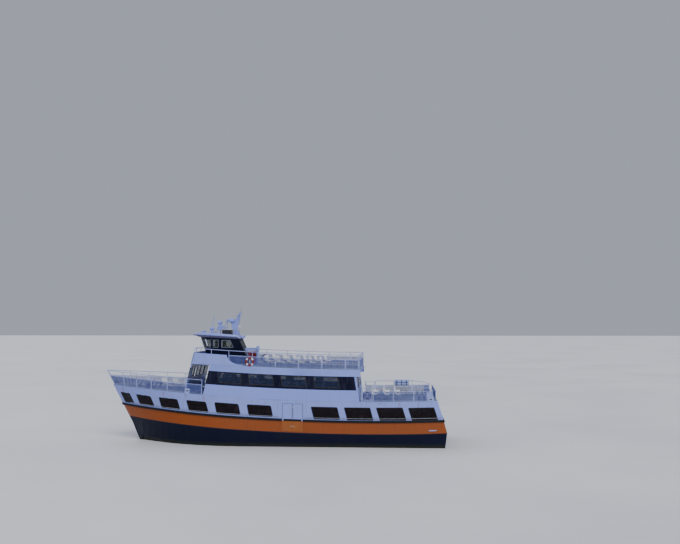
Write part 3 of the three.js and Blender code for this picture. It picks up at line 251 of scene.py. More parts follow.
def plating_bump(tree, plates, dents):
    """Weld seams round plates of a width and height, shallow dents and the paint's fine skin."""
    x, _, z = in_ship(tree)
    flat = step(tree, "ShaderNodeCombineXYZ", {0: x, 1: z})
    sizes = {
        "Vector": flat, "Scale": 1.0, "Mortar Size": 0.012, "Mortar Smooth": 1.0,
        "Brick Width": plates[0], "Row Height": plates[1],
    }
    seams = step(tree, "ShaderNodeTexBrick", sizes, out=1, offset=0.0)
    welded = bump(tree, seams, 0.35, 0.004)
    dented = bump(tree, noise(tree, 1.1, 1.0), 1.0, dents, welded)
    return bump(tree, noise(tree, 45.0, 2.0), 0.25, 0.0015, dented)


def paint(name, colour, grime, rough, wear, plates, dents, gloss=0.5):
    """Marine paint on plating: faded in clouds, streaked by rain, dulled where the grime lies.

    The colour and the grime's are three numbers, or functions that give them from the nodes.
    """
    finish, tree = new_finish(name, gloss)
    clouds = ramp(tree, noise(tree, 0.7, 5.0), 0.38, 0.68)
    streaks = ramp(tree, noise(tree, 1.6, 4.0, stretch=(5.5, 5.5, 0.5)), 0.52, 0.74)
    specks = ramp(tree, noise(tree, 14.0, 4.0), 0.62, 0.74)
    soil = calc(tree, "MULTIPLY", calc(tree, "ADD", calc(tree, "MULTIPLY", clouds, 0.35), streaks), wear)
    soil = calc(tree, "ADD", soil, calc(tree, "MULTIPLY", specks, 0.25 * wear))
    bright, dull = (shade(tree) if callable(shade) else shade for shade in (colour, grime))
    rough = ramp(tree, soil, 0, 0.8, rough, rough + 0.25)
    return lay(finish, blend_colour(tree, soil, bright, dull), rough, plating_bump(tree, plates, dents))


def coat_solids(finish, *nodes):
    """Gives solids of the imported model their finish. SIDE in a name stands for either side."""
    for node in nodes:
        for side in ("port", "stbd") if "SIDE" in node else ("",):
            slots = cad[node.replace("SIDE", side)].data.materials
            slots.clear()
            slots.append(finish)


HULL_NAVY = (0.0025, 0.004, 0.020)


def hull_colours(tree):
    """Antifouling, a scum line that wavers along the water, and navy over it."""
    wave = calc(tree, "MULTIPLY", noise(tree, 0.9, 4.0), 0.12)
    water = calc(tree, "ADD", in_ship(tree)[2], wave)
    above = ramp(tree, water, 0.06, 0.09)
    scum = ramp(tree, water, 0.16, 0.42)
    red = blend_colour(tree, noise(tree, 3.0), (0.10, 0.022, 0.016), (0.17, 0.045, 0.03))
    line = blend_colour(tree, scum, (0.016, 0.020, 0.014), HULL_NAVY)
    return blend_colour(tree, above, red, line)


hull_paint = paint("hull_paint", hull_colours, (0.012, 0.012, 0.020), 0.4, 0.35, (3.0, 1.1), 0.02, 0.14)
coat_solids(hull_paint, "hull")

# Engines
# Two diesel engines on one welded bed, closed in below the main deck.
# They are coated in a dull grey-green enamel, oily on top.
engine_enamel = paint("engine_enamel", (0.11, 0.15, 0.10), (0.03, 0.03, 0.025), 0.5, 0.8, (0.7, 0.5), 0.004)
coat_solids(engine_enamel, "engines")

# Shafts, propellers and rudders
# Steel shafts in tubes with A-brackets, four-bladed cast bronze propellers and plate rudders on
# round stocks. The steel is dulled by water, and the bronze is polished at the blades.
def bare_metal(name, bright, dull, rough, metallic=1.0):
    finish, tree = new_finish(name, metallic=metallic)
    clouds = ramp(tree, noise(tree, 6.0, 5.0), 0.35, 0.7)
    rough = ramp(tree, clouds, 0, 1, rough, rough + 0.3)
    grain = bump(tree, noise(tree, 90.0, 2.0), 0.3, 0.001)
    return lay(finish, blend_colour(tree, clouds, bright, dull), rough, grain)


gear_steel = bare_metal("gear_steel", (0.42, 0.41, 0.39), (0.20, 0.17, 0.14), 0.35)
bronze = bare_metal("cast_bronze", (0.62, 0.42, 0.17), (0.25, 0.22, 0.12), 0.25)
coat_solids(gear_steel, "shaft_SIDE", "rudder_SIDE")
coat_solids(bronze, "propeller_SIDE")

# Main deck, upper deck and stairs
# Steel decks under a thick blue-grey coat with sharp grit rolled into it, worn paler along the walks.
# The stairs are folded plate with the same coat.
def deck_coat(name, colour, worn, edge_colour):
    """A coat for what faces up, and another colour for the deck's edges."""
    finish, tree = new_finish(name)
    clouds = ramp(tree, noise(tree, 1.2, 5.0, stretch=(0.5, 1, 1)), 0.35, 0.7)
    grit = noise(tree, 160.0, 2.0, 0.7)
    dark = tuple(0.6 * c for c in colour)
    coat = blend_colour(tree, clouds, colour, worn)
    coat = blend_colour(tree, ramp(tree, grit, 0.5, 0.62, 0, 0.5), coat, dark)
    trim = blend_colour(tree, clouds, edge_colour, tuple(0.8 * c for c in edge_colour))
    facing = axes(tree, step(tree, "ShaderNodeNewGeometry", out=1))
    coat = blend_colour(tree, calc(tree, "GREATER_THAN", facing[2], 0.7), trim, coat)
    return lay(finish, coat, ramp(tree, clouds, 0, 1, 0.75, 0.9), bump(tree, grit, 0.6, 0.002))


WHITE = (0.24, 0.305, 0.72)
DECK_GREY = ((0.15, 0.19, 0.25), (0.22, 0.26, 0.32))
coat_solids(deck_coat("main_deck_coat", *DECK_GREY, HULL_NAVY), "main_deck")
coat_solids(
    deck_coat("grit_deck_coat", *DECK_GREY, WHITE), "upper_deck", "main_stair", "sun_stair", "sun_deck")

# Sheer strake
# The topmost strake of the hull, in an orange gold that fenders have scuffed.
# The lower halves of the boarding doors sit in it.
AFTER_ORANGE = (0.27, 0.060, 0.009)


def orange_colours(tree):
    """Golden at the bow, where it was last painted, and a browner orange from there aft."""
    patchy = calc(tree, "ADD", in_ship(tree)[0], calc(tree, "MULTIPLY", noise(tree, 0.8, 3.0), 4.0))
    return blend_colour(tree, ramp(tree, patchy, 4.5, 9.5), AFTER_ORANGE, (0.29, 0.056, 0.0))


orange_paint = paint("orange_paint", orange_colours, (0.15, 0.045, 0.015), 0.42, 0.4, (2.4, 3.0), 0.012, 0.3)
coat_solids(orange_paint, "sheer_strake_SIDE")

# Guard
# A black rubber D-section on timber, bolted along the side at the foot of the white plating.
# It is scraped grey where it meets the piles.
guard_rubber, tree = new_finish("guard_rubber", 0.2)
scrapes = ramp(tree, noise(tree, 5.0, 5.0, stretch=(0.6, 3, 9)), 0.5, 0.72)
black = blend_colour(tree, scrapes, (0.006, 0.006, 0.008), (0.030, 0.030, 0.034))
lay(guard_rubber, black, ramp(tree, scrapes, 0, 1, 0.6, 0.85), bump(tree, noise(tree, 60.0, 3.0), 0.5, 0.003))
coat_solids(guard_rubber, "guard_aft", "guard_fore")

# White plating
# The house sides, stem and stern walls are welded plate in a cool white, with rust weeping from a few
# fittings. The upper cabin carries a dark navy band that its windows sit in.
WHITE_GRIME = (0.21, 0.20, 0.33)
GUARD_FOOT = 1.82
# Columns: x of the fitting, height over the sheer line that the stain runs down from, how far it runs
RUST = (
    (11.9, 3.2, 1.2), (4.75, 3.45, 1.4), (8.1, 3.3, 0.6), (6.2, 3.45, 0.8), (-11.32, 3.42, 0.8),
    (-9.9, 3.3, 0.5), (-12.3, 3.42, 0.4),
)


def below_guard(tree, low, high):
    """One colour below the guard's foot and another above it."""
    return blend_colour(tree, calc(tree, "LESS_THAN", over_sheer(tree), GUARD_FOOT), high, low)


def rusted(tree):
    """Narrow brown runs below a few fittings, and the strake's orange below the guard."""
    h, x = over_sheer(tree), in_ship(tree)[0]
    ragged = calc(tree, "MULTIPLY", noise(tree, 2.0, 4.0, stretch=(6, 1, 1)), 0.2)
    stain = None
    for rust_x, top, run in RUST:
        away = calc(tree, "ABSOLUTE", calc(tree, "SUBTRACT", calc(tree, "ADD", x, ragged), rust_x + 0.1))
        near = ramp(tree, away, 0.01, 0.07, 1.0, 0.0)
        below = calc(tree, "MULTIPLY", ramp(tree, h, top - run, top), calc(tree, "LESS_THAN", h, top))
        one = calc(tree, "MULTIPLY", near, below)
        stain = one if stain is None else calc(tree, "MAXIMUM", stain, one)
    both = below_guard(tree, AFTER_ORANGE, WHITE)
    return blend_colour(tree, calc(tree, "MULTIPLY", stain, 0.75), both, (0.26, 0.10, 0.035))


def side_grime(tree):
    return below_guard(tree, (0.14, 0.040, 0.013), WHITE_GRIME)


HOUSE_PLATES = (2.0, 1.15)
NAVY = (0.0022, 0.003, 0.016)
BAND = (4.19, 5.4)


def banded(tree):
    """White below, navy in the window band, with the band's after end sloped like the wall's."""
    h, x = over_sheer(tree), in_ship(tree)[0]
    low, high = BAND
    band = calc(tree, "MULTIPLY", calc(tree, "GREATER_THAN", h, low), calc(tree, "LESS_THAN", h, high))
    after = calc(tree, "ADD", calc(tree, "MULTIPLY", calc(tree, "SUBTRACT", 5.16, h), -0.16), -6.61)
    band = calc(tree, "MULTIPLY", band, calc(tree, "GREATER_THAN", x, after))
    return blend_colour(tree, band, WHITE, NAVY)


coat_solids(
    paint("white_paint", WHITE, WHITE_GRIME, 0.36, 0.35, HOUSE_PLATES, 0.010),
    "windscreen", "windscreen_door", "cabin_front", "cabin_back", "sun_bulwark_SIDE", "sun_bulwark_front")
coat_solids(
    paint("white_side_paint", rusted, side_grime, 0.36, 0.4, HOUSE_PLATES, 0.010),
    "stem_post", "stern_wall", "main_side_SIDE")
coat_solids(
    paint("banded_side_paint", banded, WHITE_GRIME, 0.34, 0.12, HOUSE_PLATES, 0.010, 0.14), "upper_side_SIDE")
coat_solids(
    paint("navy_paint", NAVY, (0.010, 0.012, 0.026), 0.36, 0.25, (1.4, 1.0), 0.006, 0.14),
    "pilothouse", "pilothouse_door", "cabin_front_door", "cabin_back_door")

# Main deck windows
# Tinted panes in black rubber seals, set in rounded openings that lean with the ship's speed lines.
# A thin galvanised stay bar runs along the side at the foot of the windows, outside the glass.
def angles(count):
    """Turns that part a full circle evenly."""
    return [2 * math.pi * k / count for k in range(count)]


def both_halves(port):
    """A ring of points from its port half."""
    return [*port, *((x, -y, z) for x, y, z in reversed(port))]


def sides_of(corners):
    """Each corner with the next one, round to the first."""
    return zip(corners, corners[1:] + corners[:1])


# Edges that turn by more than this stay sharp
SHARP_TURN = math.radians(32)


class Piece:
    """One fabricated piece, made of closed shells that each have their own finish."""

    def __init__(self):
        self.points, self.faces, self.finish_of, self.finishes = [], [], [], []

    def shell(self, points, faces, finish):
        first = len(self.points)
        if finish not in self.finishes:
            self.finishes.append(finish)
        self.points += [tuple(point) for point in points]
        for face in faces:
            self.faces.append([first + k for k in face])
            self.finish_of.append(self.finishes.index(finish))

    def loft(self, rings, finish, joined=False):
        """Skins rings of points in turn. The end rings are capped, or joined to each other."""
        size, count = len(rings[0]), len(rings)
        faces = []
        for k in range(count if joined else count - 1):
            a, b = k * size, (k + 1) % count * size
            faces += [(a + i, a + (i + 1) % size, b + (i + 1) % size, b + i) for i in range(size)]
        if not joined:
            faces += [tuple(range(size)), tuple(range((count - 1) * size, count * size))]
        self.shell([point for ring in rings for point in ring], faces, finish)

    def pipe(self, path, radius, finish, sides=8, end_radius=None):
        """A round bar along a path, bent at each point and thinned to its end radius."""
        path = [Vector(point) for point in path]
        rings, across = [], None
        for k, point in enumerate(path):
            along = (path[min(k + 1, len(path) - 1)] - path[max(k - 1, 0)]).normalized()
            across = along.orthogonal() if across is None else across - along * across.dot(along)
            across.normalize()
            other = along.cross(across)
            thick = radius + ((end_radius or radius) - radius) * k / (len(path) - 1)
            turns = [2 * math.pi * (i + 0.5) / sides for i in range(sides)]
            rings.append([point + thick * (math.cos(t) * across + math.sin(t) * other) for t in turns])
        self.loft(rings, finish)

    def block(self, centre, size, finish, edge=0.006, turn=None):
        """A block with its edges dressed off."""
        long, wide, tall = (0.5 * side for side in size)
        cut = min(edge, 0.4 * min(long, wide, tall))
        rings = []
        for z, inset in ((-tall, cut), (cut - tall, 0), (tall - cut, 0), (tall, cut)):
            x, y, nip = long - inset, wide - inset, 0.4 * cut if inset else cut
            rings.append(both_halves([(x, y - nip, z), (x - nip, y, z), (nip - x, y, z), (-x, y - nip, z)]))
        turn = turn or Matrix.Identity(3)
        self.loft([[Vector(centre) + turn @ Vector(point) for point in ring] for ring in rings], finish)

    def turned(self, profile, at, finish, axis=(0, 0, 1), sides=20):
        """A round part. Columns of the profile: radius, how far along the axis."""
        turn = Vector(axis).to_track_quat("Z", "Y")
        rings = [[Vector((r * math.cos(t), r * math.sin(t), h)) for t in angles(sides)] for r, h in profile]
        self.loft([[Vector(at) + turn @ point for point in ring] for ring in rings], finish)

    def plate(self, corners, through, finish):
        """A flat sheet from its corners and the way through its thickness."""
        self.loft([corners, [Vector(corner) + Vector(through) for corner in corners]], finish)

    def fit(self, name, body="ferry", replaces=(), mirrored=False):
        """Makes the mesh and rides it on its body."""
        mesh = bpy.data.meshes.new(name)
        side = -1 if mirrored else 1
        mesh.from_pydata([(x, side * y, z) for x, y, z in self.points], [], self.faces)
        for finish in self.finishes:
            mesh.materials.append(finish)
        for face, finish in zip(mesh.polygons, self.finish_of):
            face.material_index = finish
        work = bmesh.new()
        work.from_mesh(mesh)
        bmesh.ops.recalc_face_normals(work, faces=work.faces)
        work.to_mesh(mesh)
        work.free()
        mesh.polygons.foreach_set("use_smooth", [True] * len(mesh.polygons))
        mesh.set_sharp_from_angle(angle=SHARP_TURN)
        made = bpy.data.objects.new(name, mesh)
        bpy.context.scene.collection.objects.link(made)
        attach(made, body)
        if replaces:
            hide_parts(*replaces)

    def fit_pair(self, name, body="ferry", replaces=()):
        """Fits the piece on the port side and its mirror image on the starboard side."""
        for side in ("port", "stbd"):
            self.fit(f"{name}_{side}", body.replace("SIDE", side),
                     [node.replace("SIDE", side) for node in replaces], side == "stbd")


def moulded(name, colour, worn, rough, scale=5.0, grain=0.0008):
    """A small part's coat, gel or plastic: clouded and specked with wear, with a fine skin."""
    finish, tree = new_finish(name)
    clouds = ramp(tree, noise(tree, scale, 5.0), 0.42, 0.72)
    specks = ramp(tree, noise(tree, 12 * scale, 3.0), 0.6, 0.75, 0, 0.5)
    soil = calc(tree, "MAXIMUM", clouds, specks)
    rough = ramp(tree, soil, 0, 1, rough, rough + 0.2)
    skin = bump(tree, noise(tree, 120.0, 2.0), 0.4, grain)
    return lay(finish, blend_colour(tree, soil, colour, worn), rough, skin)


def tinted_glass(name, colour, cover, film=2.5, shine=0.3):
    """Tinted glass with a film of dried salt, thickest in patches."""
    finish, tree = new_finish(name, shine)
    salt = ramp(tree, noise(tree, 3.0, 6.0, stretch=(1, 1, 1.6)), 0.5, 0.85)
    salted = tuple(min(0.5, film * c + 0.004) for c in colour)
    rough, alpha = ramp(tree, salt, 0, 1, 0.04, 0.2), ramp(tree, salt, 0, 1, cover, cover + 0.06)
    return lay(finish, blend_colour(tree, salt, colour, salted), rough, alpha=alpha)


window_glass = tinted_glass("tinted_window_glass", (0.008, 0.0045, 0.007), 0.72, 3.0, 0.15)
seal_rubber = moulded("seal_rubber", (0.008, 0.008, 0.009), (0.03, 0.03, 0.032), 0.6)
bright_alloy = bare_metal("bright_alloy", (0.66, 0.68, 0.72), (0.42, 0.43, 0.46), 0.3, 0.9)
stay_zinc = moulded("stay_zinc", (0.30, 0.32, 0.38), (0.18, 0.18, 0.22), 0.4)
MAIN_LEVELS = (1.98, 3.2997)
# Columns: fore top x, aft top x, lean, low height, high height, corner radius
MAIN_WINDOWS = (
    (12.18, 11.25, 0.42, 2.08, 2.84, 0.08), (10.64, 9.25, 0.36, 2.08, 2.84, 0.11),
    (8.5, 6.89, 0.25, 2.08, 2.84, 0.11), (6.14, 4.57, 0.23, 2.08, 2.85, 0.11),
    (3.89, 2.07, 0.18, 2.08, 2.88, 0.11), (1.42, -0.39, 0.16, 2.08, 2.89, 0.11),
    (-3.39, -5.34, 0.22, 2.04, 2.93, 0.06), (-5.85, -7.77, 0.24, 2.02, 2.93, 0.06),
    (-8.22, -10.16, 0.28, 2.01, 2.93, 0.06), (-10.58, -12.48, 0.28, 2.0, 2.9, 0.06),
)


def on_side(levels):
    """How a plated side lies between two levels: from x, z and a depth under its face to a point."""
    def place(x, z, depth=0.0):
        share = (z - sheer(x) - levels[0]) / (levels[1] - levels[0])
        line = [Vector(a).lerp(Vector(b), share) for a, b in zip(outline(levels[0]), outline(levels[1]))]
        k = max([i for i in range(len(line) - 1) if line[i].x <= x], default=0)
        run = line[k + 1] - line[k]
        point = line[k] + run * (x - line[k].x) / run.x
        return Vector((x, point.y, z)) - depth * Vector((-run.y, run.x, 0)).normalized()
    return place


CORNER_STEPS = 4
LONGEST_STEP = 0.5


def rounded(corners, radius):
    """Walks round an opening: each point, and the way out of the opening there."""
    corners = [Vector(corner) for corner in corners]
    middle = sum(corners, Vector((0, 0))) / len(corners)
    walk = []
    for k, corner in enumerate(corners):
        to, back = corners[(k + 1) % len(corners)], corners[k - 1]
        reach = min(radius * 1.15, 0.45 * (to - corner).length)
        start = corner.lerp(back, reach / (back - corner).length)
        end = corner.lerp(to, reach / (to - corner).length)
        for j in range(CORNER_STEPS + 1):
            t = j / CORNER_STEPS
            walk.append((1 - t) ** 2 * start + 2 * t * (1 - t) * corner + t * t * end)
        gap = to.lerp(corner, reach / (to - corner).length) - end
        between = int(gap.length / LONGEST_STEP)
        for j in range(1, between + 1):
            walk.append(end + gap * j / (between + 1))
    steps = []
    for k, point in enumerate(walk):
        run = walk[(k + 1) % len(walk)] - walk[k - 1]
        out = Vector((run.y, -run.x)).normalized()
        steps.append((point, out if out.dot(point - middle) > 0 else -out))
    return steps


def oblong(u0, u1, low, high, radius):
    """Walks round an upright, square-cornered opening."""
    return rounded(((u0, low), (u1, low), (u1, high), (u0, high)), radius)


PANE = 0.008


def glaze(piece, walk, place, glass, seal, sight=0.03, depth=0.014):
    """A pane held in a seal round an opening. sight is how much of the seal shows inside the opening."""
    # Columns: how far out of the opening, how deep under the wall's face
    profile = (
        (0.016, -0.006), (-sight, -0.006), (-sight, 0.03), (-0.001, 0.03), (-0.001, 0.0005), (0.016, 0.0005))
    rings = [[place(*(point + out * over), deep) for over, deep in profile] for point, out in walk]
    piece.loft(rings, seal, True)
    rim = [point - out * sight * 0.5 for point, out in walk]
    columns = sorted({round(point.x, 3) for point in rim})
    columns[0], columns[-1] = columns[0] + 0.001, columns[-1] - 0.001
    back = depth + PANE
    rings = []
    for u in columns:
        hits = []
        for a, b in sides_of(rim):
            if (a.x - u) * (b.x - u) <= 0 and abs(a.x - b.x) > 1e-9:
                hits.append(a.y + (b.y - a.y) * (u - a.x) / (b.x - a.x))
        low, high = min(hits), max(max(hits), min(hits) + 0.002)
        spots = ((low, depth), (high, depth), (high, back), (low, back))
        rings.append([place(u, v, deep) for v, deep in spots])
    piece.loft(rings, glass)


def side_window(fore, aft, lean, low, high, radius):
    """Walks round a leaning window in a plated side."""
    spots = ((aft, high), (fore, high), (fore - lean, low), (aft - lean, low))
    return rounded([(x, h + sheer(x)) for x, h in spots], radius)


main_panes = Piece()
for row in MAIN_WINDOWS:
    glaze(main_panes, side_window(*row), on_side(MAIN_LEVELS), window_glass, seal_rubber)
STAY_H = 2.13
for start, stop in ((-12.95, -2.95), (-1.0, 11.2)):
    spots = frames_between(start, stop)
    main_panes.pipe([on_side(MAIN_LEVELS)(x, STAY_H + sheer(x), -0.045) for x in spots], 0.017, stay_zinc)
    for x in spots:
        seat = [on_side(MAIN_LEVELS)(x, STAY_H + sheer(x), depth) for depth in (-0.045, 0.012)]
        main_panes.pipe(seat, 0.011, stay_zinc)
main_panes.fit_pair("main_windows")

# Rails
# Welded pipe rails with a round hand rail, and panels of galvanised weld mesh framed between the posts.
# They are painted white over galvanising, and the mesh is left grey.
rail_white = moulded("rail_white", (0.32, 0.38, 0.75), (0.23, 0.25, 0.38), 0.35, 4.0)
mesh_zinc = moulded("mesh_zinc", (0.125, 0.155, 0.42), (0.085, 0.105, 0.28), 0.5, 3.0)
# Radii of the pipes, of a panel's frame bars and of its wires, then how far apart the wires are
RAIL = 0.024
MIDDLE_RAIL = 0.018
PANEL_BAR = 0.010
WIRE = 0.0056
WIRE_PITCH = 0.027
MESH_FOOT, MESH_TOP = 0.06, 0.72
SIDE_RAIL, SUN_RAIL = 1.08, 1.07
# Columns: radius, height over the deck
FOOT_PLATE = [(0.05, 0.003), (0.05, 0.010), (0.03, 0.014)]


def up_by(rise):
    return Vector((0, 0, rise))


def out_by(reach):
    return Vector((0, reach, 0))


def mesh_panel(piece, low_a, low_b, high_b, high_a):
    """Weld mesh in a frame of bars between four corners."""
    corners = [Vector(corner) for corner in (low_a, low_b, high_b, high_a)]
    for a, b in sides_of(corners):
        piece.pipe([a, b], PANEL_BAR, rail_white, 6)
    low_a, low_b, high_b, high_a = corners
    aside = (low_b - low_a).cross(high_a - low_a).normalized() * WIRE
    upright, level = ((low_a, low_b), (high_a, high_b)), ((low_a, high_a), (low_b, high_b))
    for side, edges in ((aside, upright), (-aside, level)):
        count = round((edges[0][1] - edges[0][0]).length / WIRE_PITCH)
        for k in range(1, count):
            piece.pipe([side + a.lerp(b, k / count) for a, b in edges], WIRE, mesh_zinc, 4)


def rail_run(piece, base, start, end, posts, hand, inset, panel_end=math.inf, drop=lambda x: 0.0):
    """A hand rail on posts along the ship's side. Columns of posts: x at the foot, x at the head."""
    def at(x, h):
        point = edge(x, h)
        return Vector((x, max(0.001, point.y - inset), point.z))

    top = base + hand
    piece.pipe([at(x, top) - up_by(drop(x)) for x in frames_between(start, end(top))], RAIL, rail_white, 10)
    for foot, head in posts:
        post = [at(foot, base) + up_by(0.004), at(head, top) - up_by(drop(head))]
        piece.pipe(post, RAIL * 0.9, rail_white, 10)
        piece.turned(FOOT_PLATE, at(foot, base), rail_white, sides=12)
    for a, b in zip(posts, posts[1:]):
        if b[0] > panel_end:
            break
        corners = []
        for (foot, head), h in ((a, MESH_FOOT), (b, MESH_FOOT), (b, MESH_TOP), (a, MESH_TOP)):
            corners.append(at(foot + (head - foot) * h / hand, base + h))
        piece.pipe([corners[3], corners[2]], MIDDLE_RAIL, rail_white)
        inward = (corners[1] - corners[0]).normalized() * 0.045
        low_a, low_b, high_b, high_a = (
            corner + way for corner, way in zip(corners, (inward, -inward, -inward, inward)))
        mesh_panel(piece, low_a, low_b, high_b - up_by(0.04), high_a - up_by(0.04))
        for share in (0.15, 0.85):
            for foot, head, way in ((corners[0], corners[3], inward), (corners[1], corners[2], -inward)):
                stub = foot.lerp(head, share)
                piece.pipe([stub, stub + way], 0.007, rail_white, 6)


def front_at(h):
    """Where the upper cabin's raked front stands on the centreline."""
    return 6.365 - 0.25 * (h - UPPER_DECK)


bow_rail = Piece()
bow_posts = [(x, x) for x in (4.9, 6.18, 7.75, 9.15, 10.5)]
bow_posts += [(11.7, 11.85), (stem_at(UPPER_DECK) - 0.13, stem_at(4.46) - 0.13)]
rail_run(bow_rail, UPPER_DECK, 4.86, lambda h: stem_at(h) - 0.075, bow_posts, SIDE_RAIL, 0.04)
bow_rail.fit_pair("bow_pipe_rail", replaces=["bow_rail_SIDE"])

sun_rail = Piece()
sun_posts = [(x, x) for x in (-6.92, -5.95, -4.18, -2.42, -0.68, 1.06, 2.85, 4.2, 5.39)]
rail_run(sun_rail, SUN_DECK, -6.95, lambda h: front_at(h) - 0.06, sun_posts, SUN_RAIL, 0.026, 2.9)
sun_rail.fit_pair("sun_pipe_rail", replaces=["sun_rail_SIDE"])

GATE_FORE, GATE_AFT = -7.19, -7.96
GATE_HINGE, GATE_POST = -7.18, -7.13


def stern_drop(x):
    """How far the hand rail dips towards the stern."""
    return 0.33 * min(1, max(0, (-11.7 - x) / 0.8))


aft_rail = Piece()
aft_posts = [(x, x) for x in (-12.38, -11.0, -9.5, GATE_AFT - 0.04)]
rail_run(aft_rail, UPPER_DECK, -12.42, lambda h: GATE_AFT - 0.02, aft_posts, SIDE_RAIL, 0.04, drop=stern_drop)
post_foot = edge(GATE_POST, UPPER_DECK) - out_by(0.04)
aft_rail.pipe([post_foot + up_by(0.004), post_foot + up_by(SIDE_RAIL)], RAIL, rail_white, 10)
aft_rail.pipe([edge(x, 3.41) - out_by(0.04) for x in (GATE_AFT - 0.04, GATE_POST)], MIDDLE_RAIL, rail_white)
corner_plate = []
for x, h in ((-11.95, 3.40), (stern_at(3.40) + 0.2, 3.40), (stern_at(4.06) + 0.2, 4.06), (-11.95, 4.06)):
    corner_plate.append(edge(x, h) - out_by(0.034))
aft_rail.plate(corner_plate, (0, -0.01, 0), rail_white)
aft_rail.fit_pair("aft_pipe_rail", replaces=["aft_rail_SIDE"])

gate = Piece()
gate_y, gate_z = edge(GATE_FORE, UPPER_DECK).y - 0.04, UPPER_DECK + sheer(GATE_FORE)
gate_x = (GATE_AFT + 0.05, GATE_FORE - 0.02)


def in_gate(inset, low, high):
    """The corners of an upright oblong in the gate's leaf."""
    aft, fore = gate_x[0] + inset, gate_x[1] - inset
    spots = ((aft, low), (fore, low), (fore, high), (aft, high))
    return [(x, gate_y, gate_z + level) for x, level in spots]


for a, b in sides_of(in_gate(0, 0.1, 1.0)):
    gate.pipe([a, b], 0.019, rail_white)
gate.pipe(in_gate(0, 0.74, 0.74)[:2], 0.014, rail_white)
mesh_panel(gate, *in_gate(0.03, 0.13, 0.71))
for height in (0.2, 0.8):
    knuckle = [(GATE_HINGE, gate_y, gate_z + height + way) for way in (-0.05, 0.05)]
    gate.pipe(knuckle, 0.02, bright_alloy, 12)
gate.block((gate_x[0] - 0.01, gate_y, gate_z + 0.9), (0.07, 0.05, 0.09), bright_alloy, 0.008)
gate.fit_pair("meshed_gate", body="gate_SIDE", replaces=["gate_SIDE"])


def rail_across(name, x, base, half, hand, panel_top, node):
    """A rail across the ship with mesh between five posts."""
    piece = Piece()
    z = base + sheer(x)
    piece.pipe([(x, -half, z + hand), (x, half, z + hand)], RAIL, rail_white, 10)
    ys = [share * (half - 0.03) for share in (-1, -0.5, 0, 0.5, 1)]
    for y in ys:
        piece.pipe([(x, y, z + 0.004), (x, y, z + hand)], RAIL * 0.9, rail_white, 10)
        piece.turned(FOOT_PLATE, (x, y, z), rail_white, sides=12)
    piece.pipe([(x, side * (half - 0.03), z + panel_top) for side in (-1, 1)], MIDDLE_RAIL, rail_white)
    low, high = z + MESH_FOOT, z + panel_top - 0.04
    for a, b in zip(ys, ys[1:]):
        a, b = a + 0.045, b - 0.045
        mesh_panel(piece, (x, a, low), (x, b, low), (x, b, high), (x, a, high))
    piece.fit(name, replaces=[node])


stern_x = stern_at(UPPER_DECK) + 0.12
stern_half = edge(stern_x, UPPER_DECK).y - 0.12
rail_across("stern_pipe_rail", stern_x, UPPER_DECK, stern_half, 0.75, 0.68, "stern_rail")
sun_half = edge(-6.99, SUN_DECK).y - 0.06
rail_across("sun_pipe_rail_aft", -6.99, SUN_DECK, sun_half, SUN_RAIL, MESH_TOP, "sun_rail_aft")

# Benches on the open decks
# Rows of moulded seats, bolted to steel legs on two runners. The seats face aft.
# The shells are weathered white plastic, and the legs are galvanised.
seat_plastic = moulded("seat_plastic", (0.86, 0.86, 0.86), (0.60, 0.61, 0.64), 0.4, 3.0)
# Columns: how far forward of the row's middle, height over the deck, thickness of the shell there
SEAT_LINE = (
    (-0.205, 0.360, 0.014), (-0.212, 0.392, 0.014), (-0.198, 0.412, 0.016), (-0.165, 0.424, 0.018),
    (-0.06, 0.412, 0.018), (0.06, 0.408, 0.018), (0.125, 0.424, 0.018), (0.158, 0.462, 0.018),
    (0.185, 0.55, 0.017), (0.222, 0.68, 0.016), (0.252, 0.79, 0.015), (0.262, 0.822, 0.014),
    (0.280, 0.828, 0.010),
)
# Columns: share of the shell's width, how deep its face is dished there
SEAT_DISH = (
    (0, -0.006), (0.04, 0.002), (0.14, 0.012), (0.32, 0.020), (0.5, 0.024), (0.68, 0.020), (0.86, 0.012),
    (0.96, 0.002), (1, -0.006),
)


def seat_shell(piece, x, y0, y1, z, finish, rise):
    """One dished seat shell from y0 to y1. rise lifts the top of its back."""
    rings = []
    for share, dish in SEAT_DISH:
        face, back = [], []
        for k, (dx, dz, thick) in enumerate(SEAT_LINE):
            ahead = SEAT_LINE[min(k + 1, len(SEAT_LINE) - 1)]
            behind = SEAT_LINE[max(k - 1, 0)]
            run = Vector((ahead[0] - behind[0], ahead[1] - behind[1])).normalized()
            sink = Vector((run.y, -run.x)) * dish * min(1, max(0, 3 * (k - 1) / len(SEAT_LINE)))
            lifted = rise * max(0, dz - 0.462) / 0.366
            spot = Vector((x + dx, z + dz + lifted)) + sink
            under = spot + Vector((run.y, -run.x)) * thick
            face.append((spot.x, y0 + share * (y1 - y0), spot.y))
            back.append((under.x, y0 + share * (y1 - y0), under.y))
        rings.append(face + back[::-1])
    piece.loft(rings, finish)


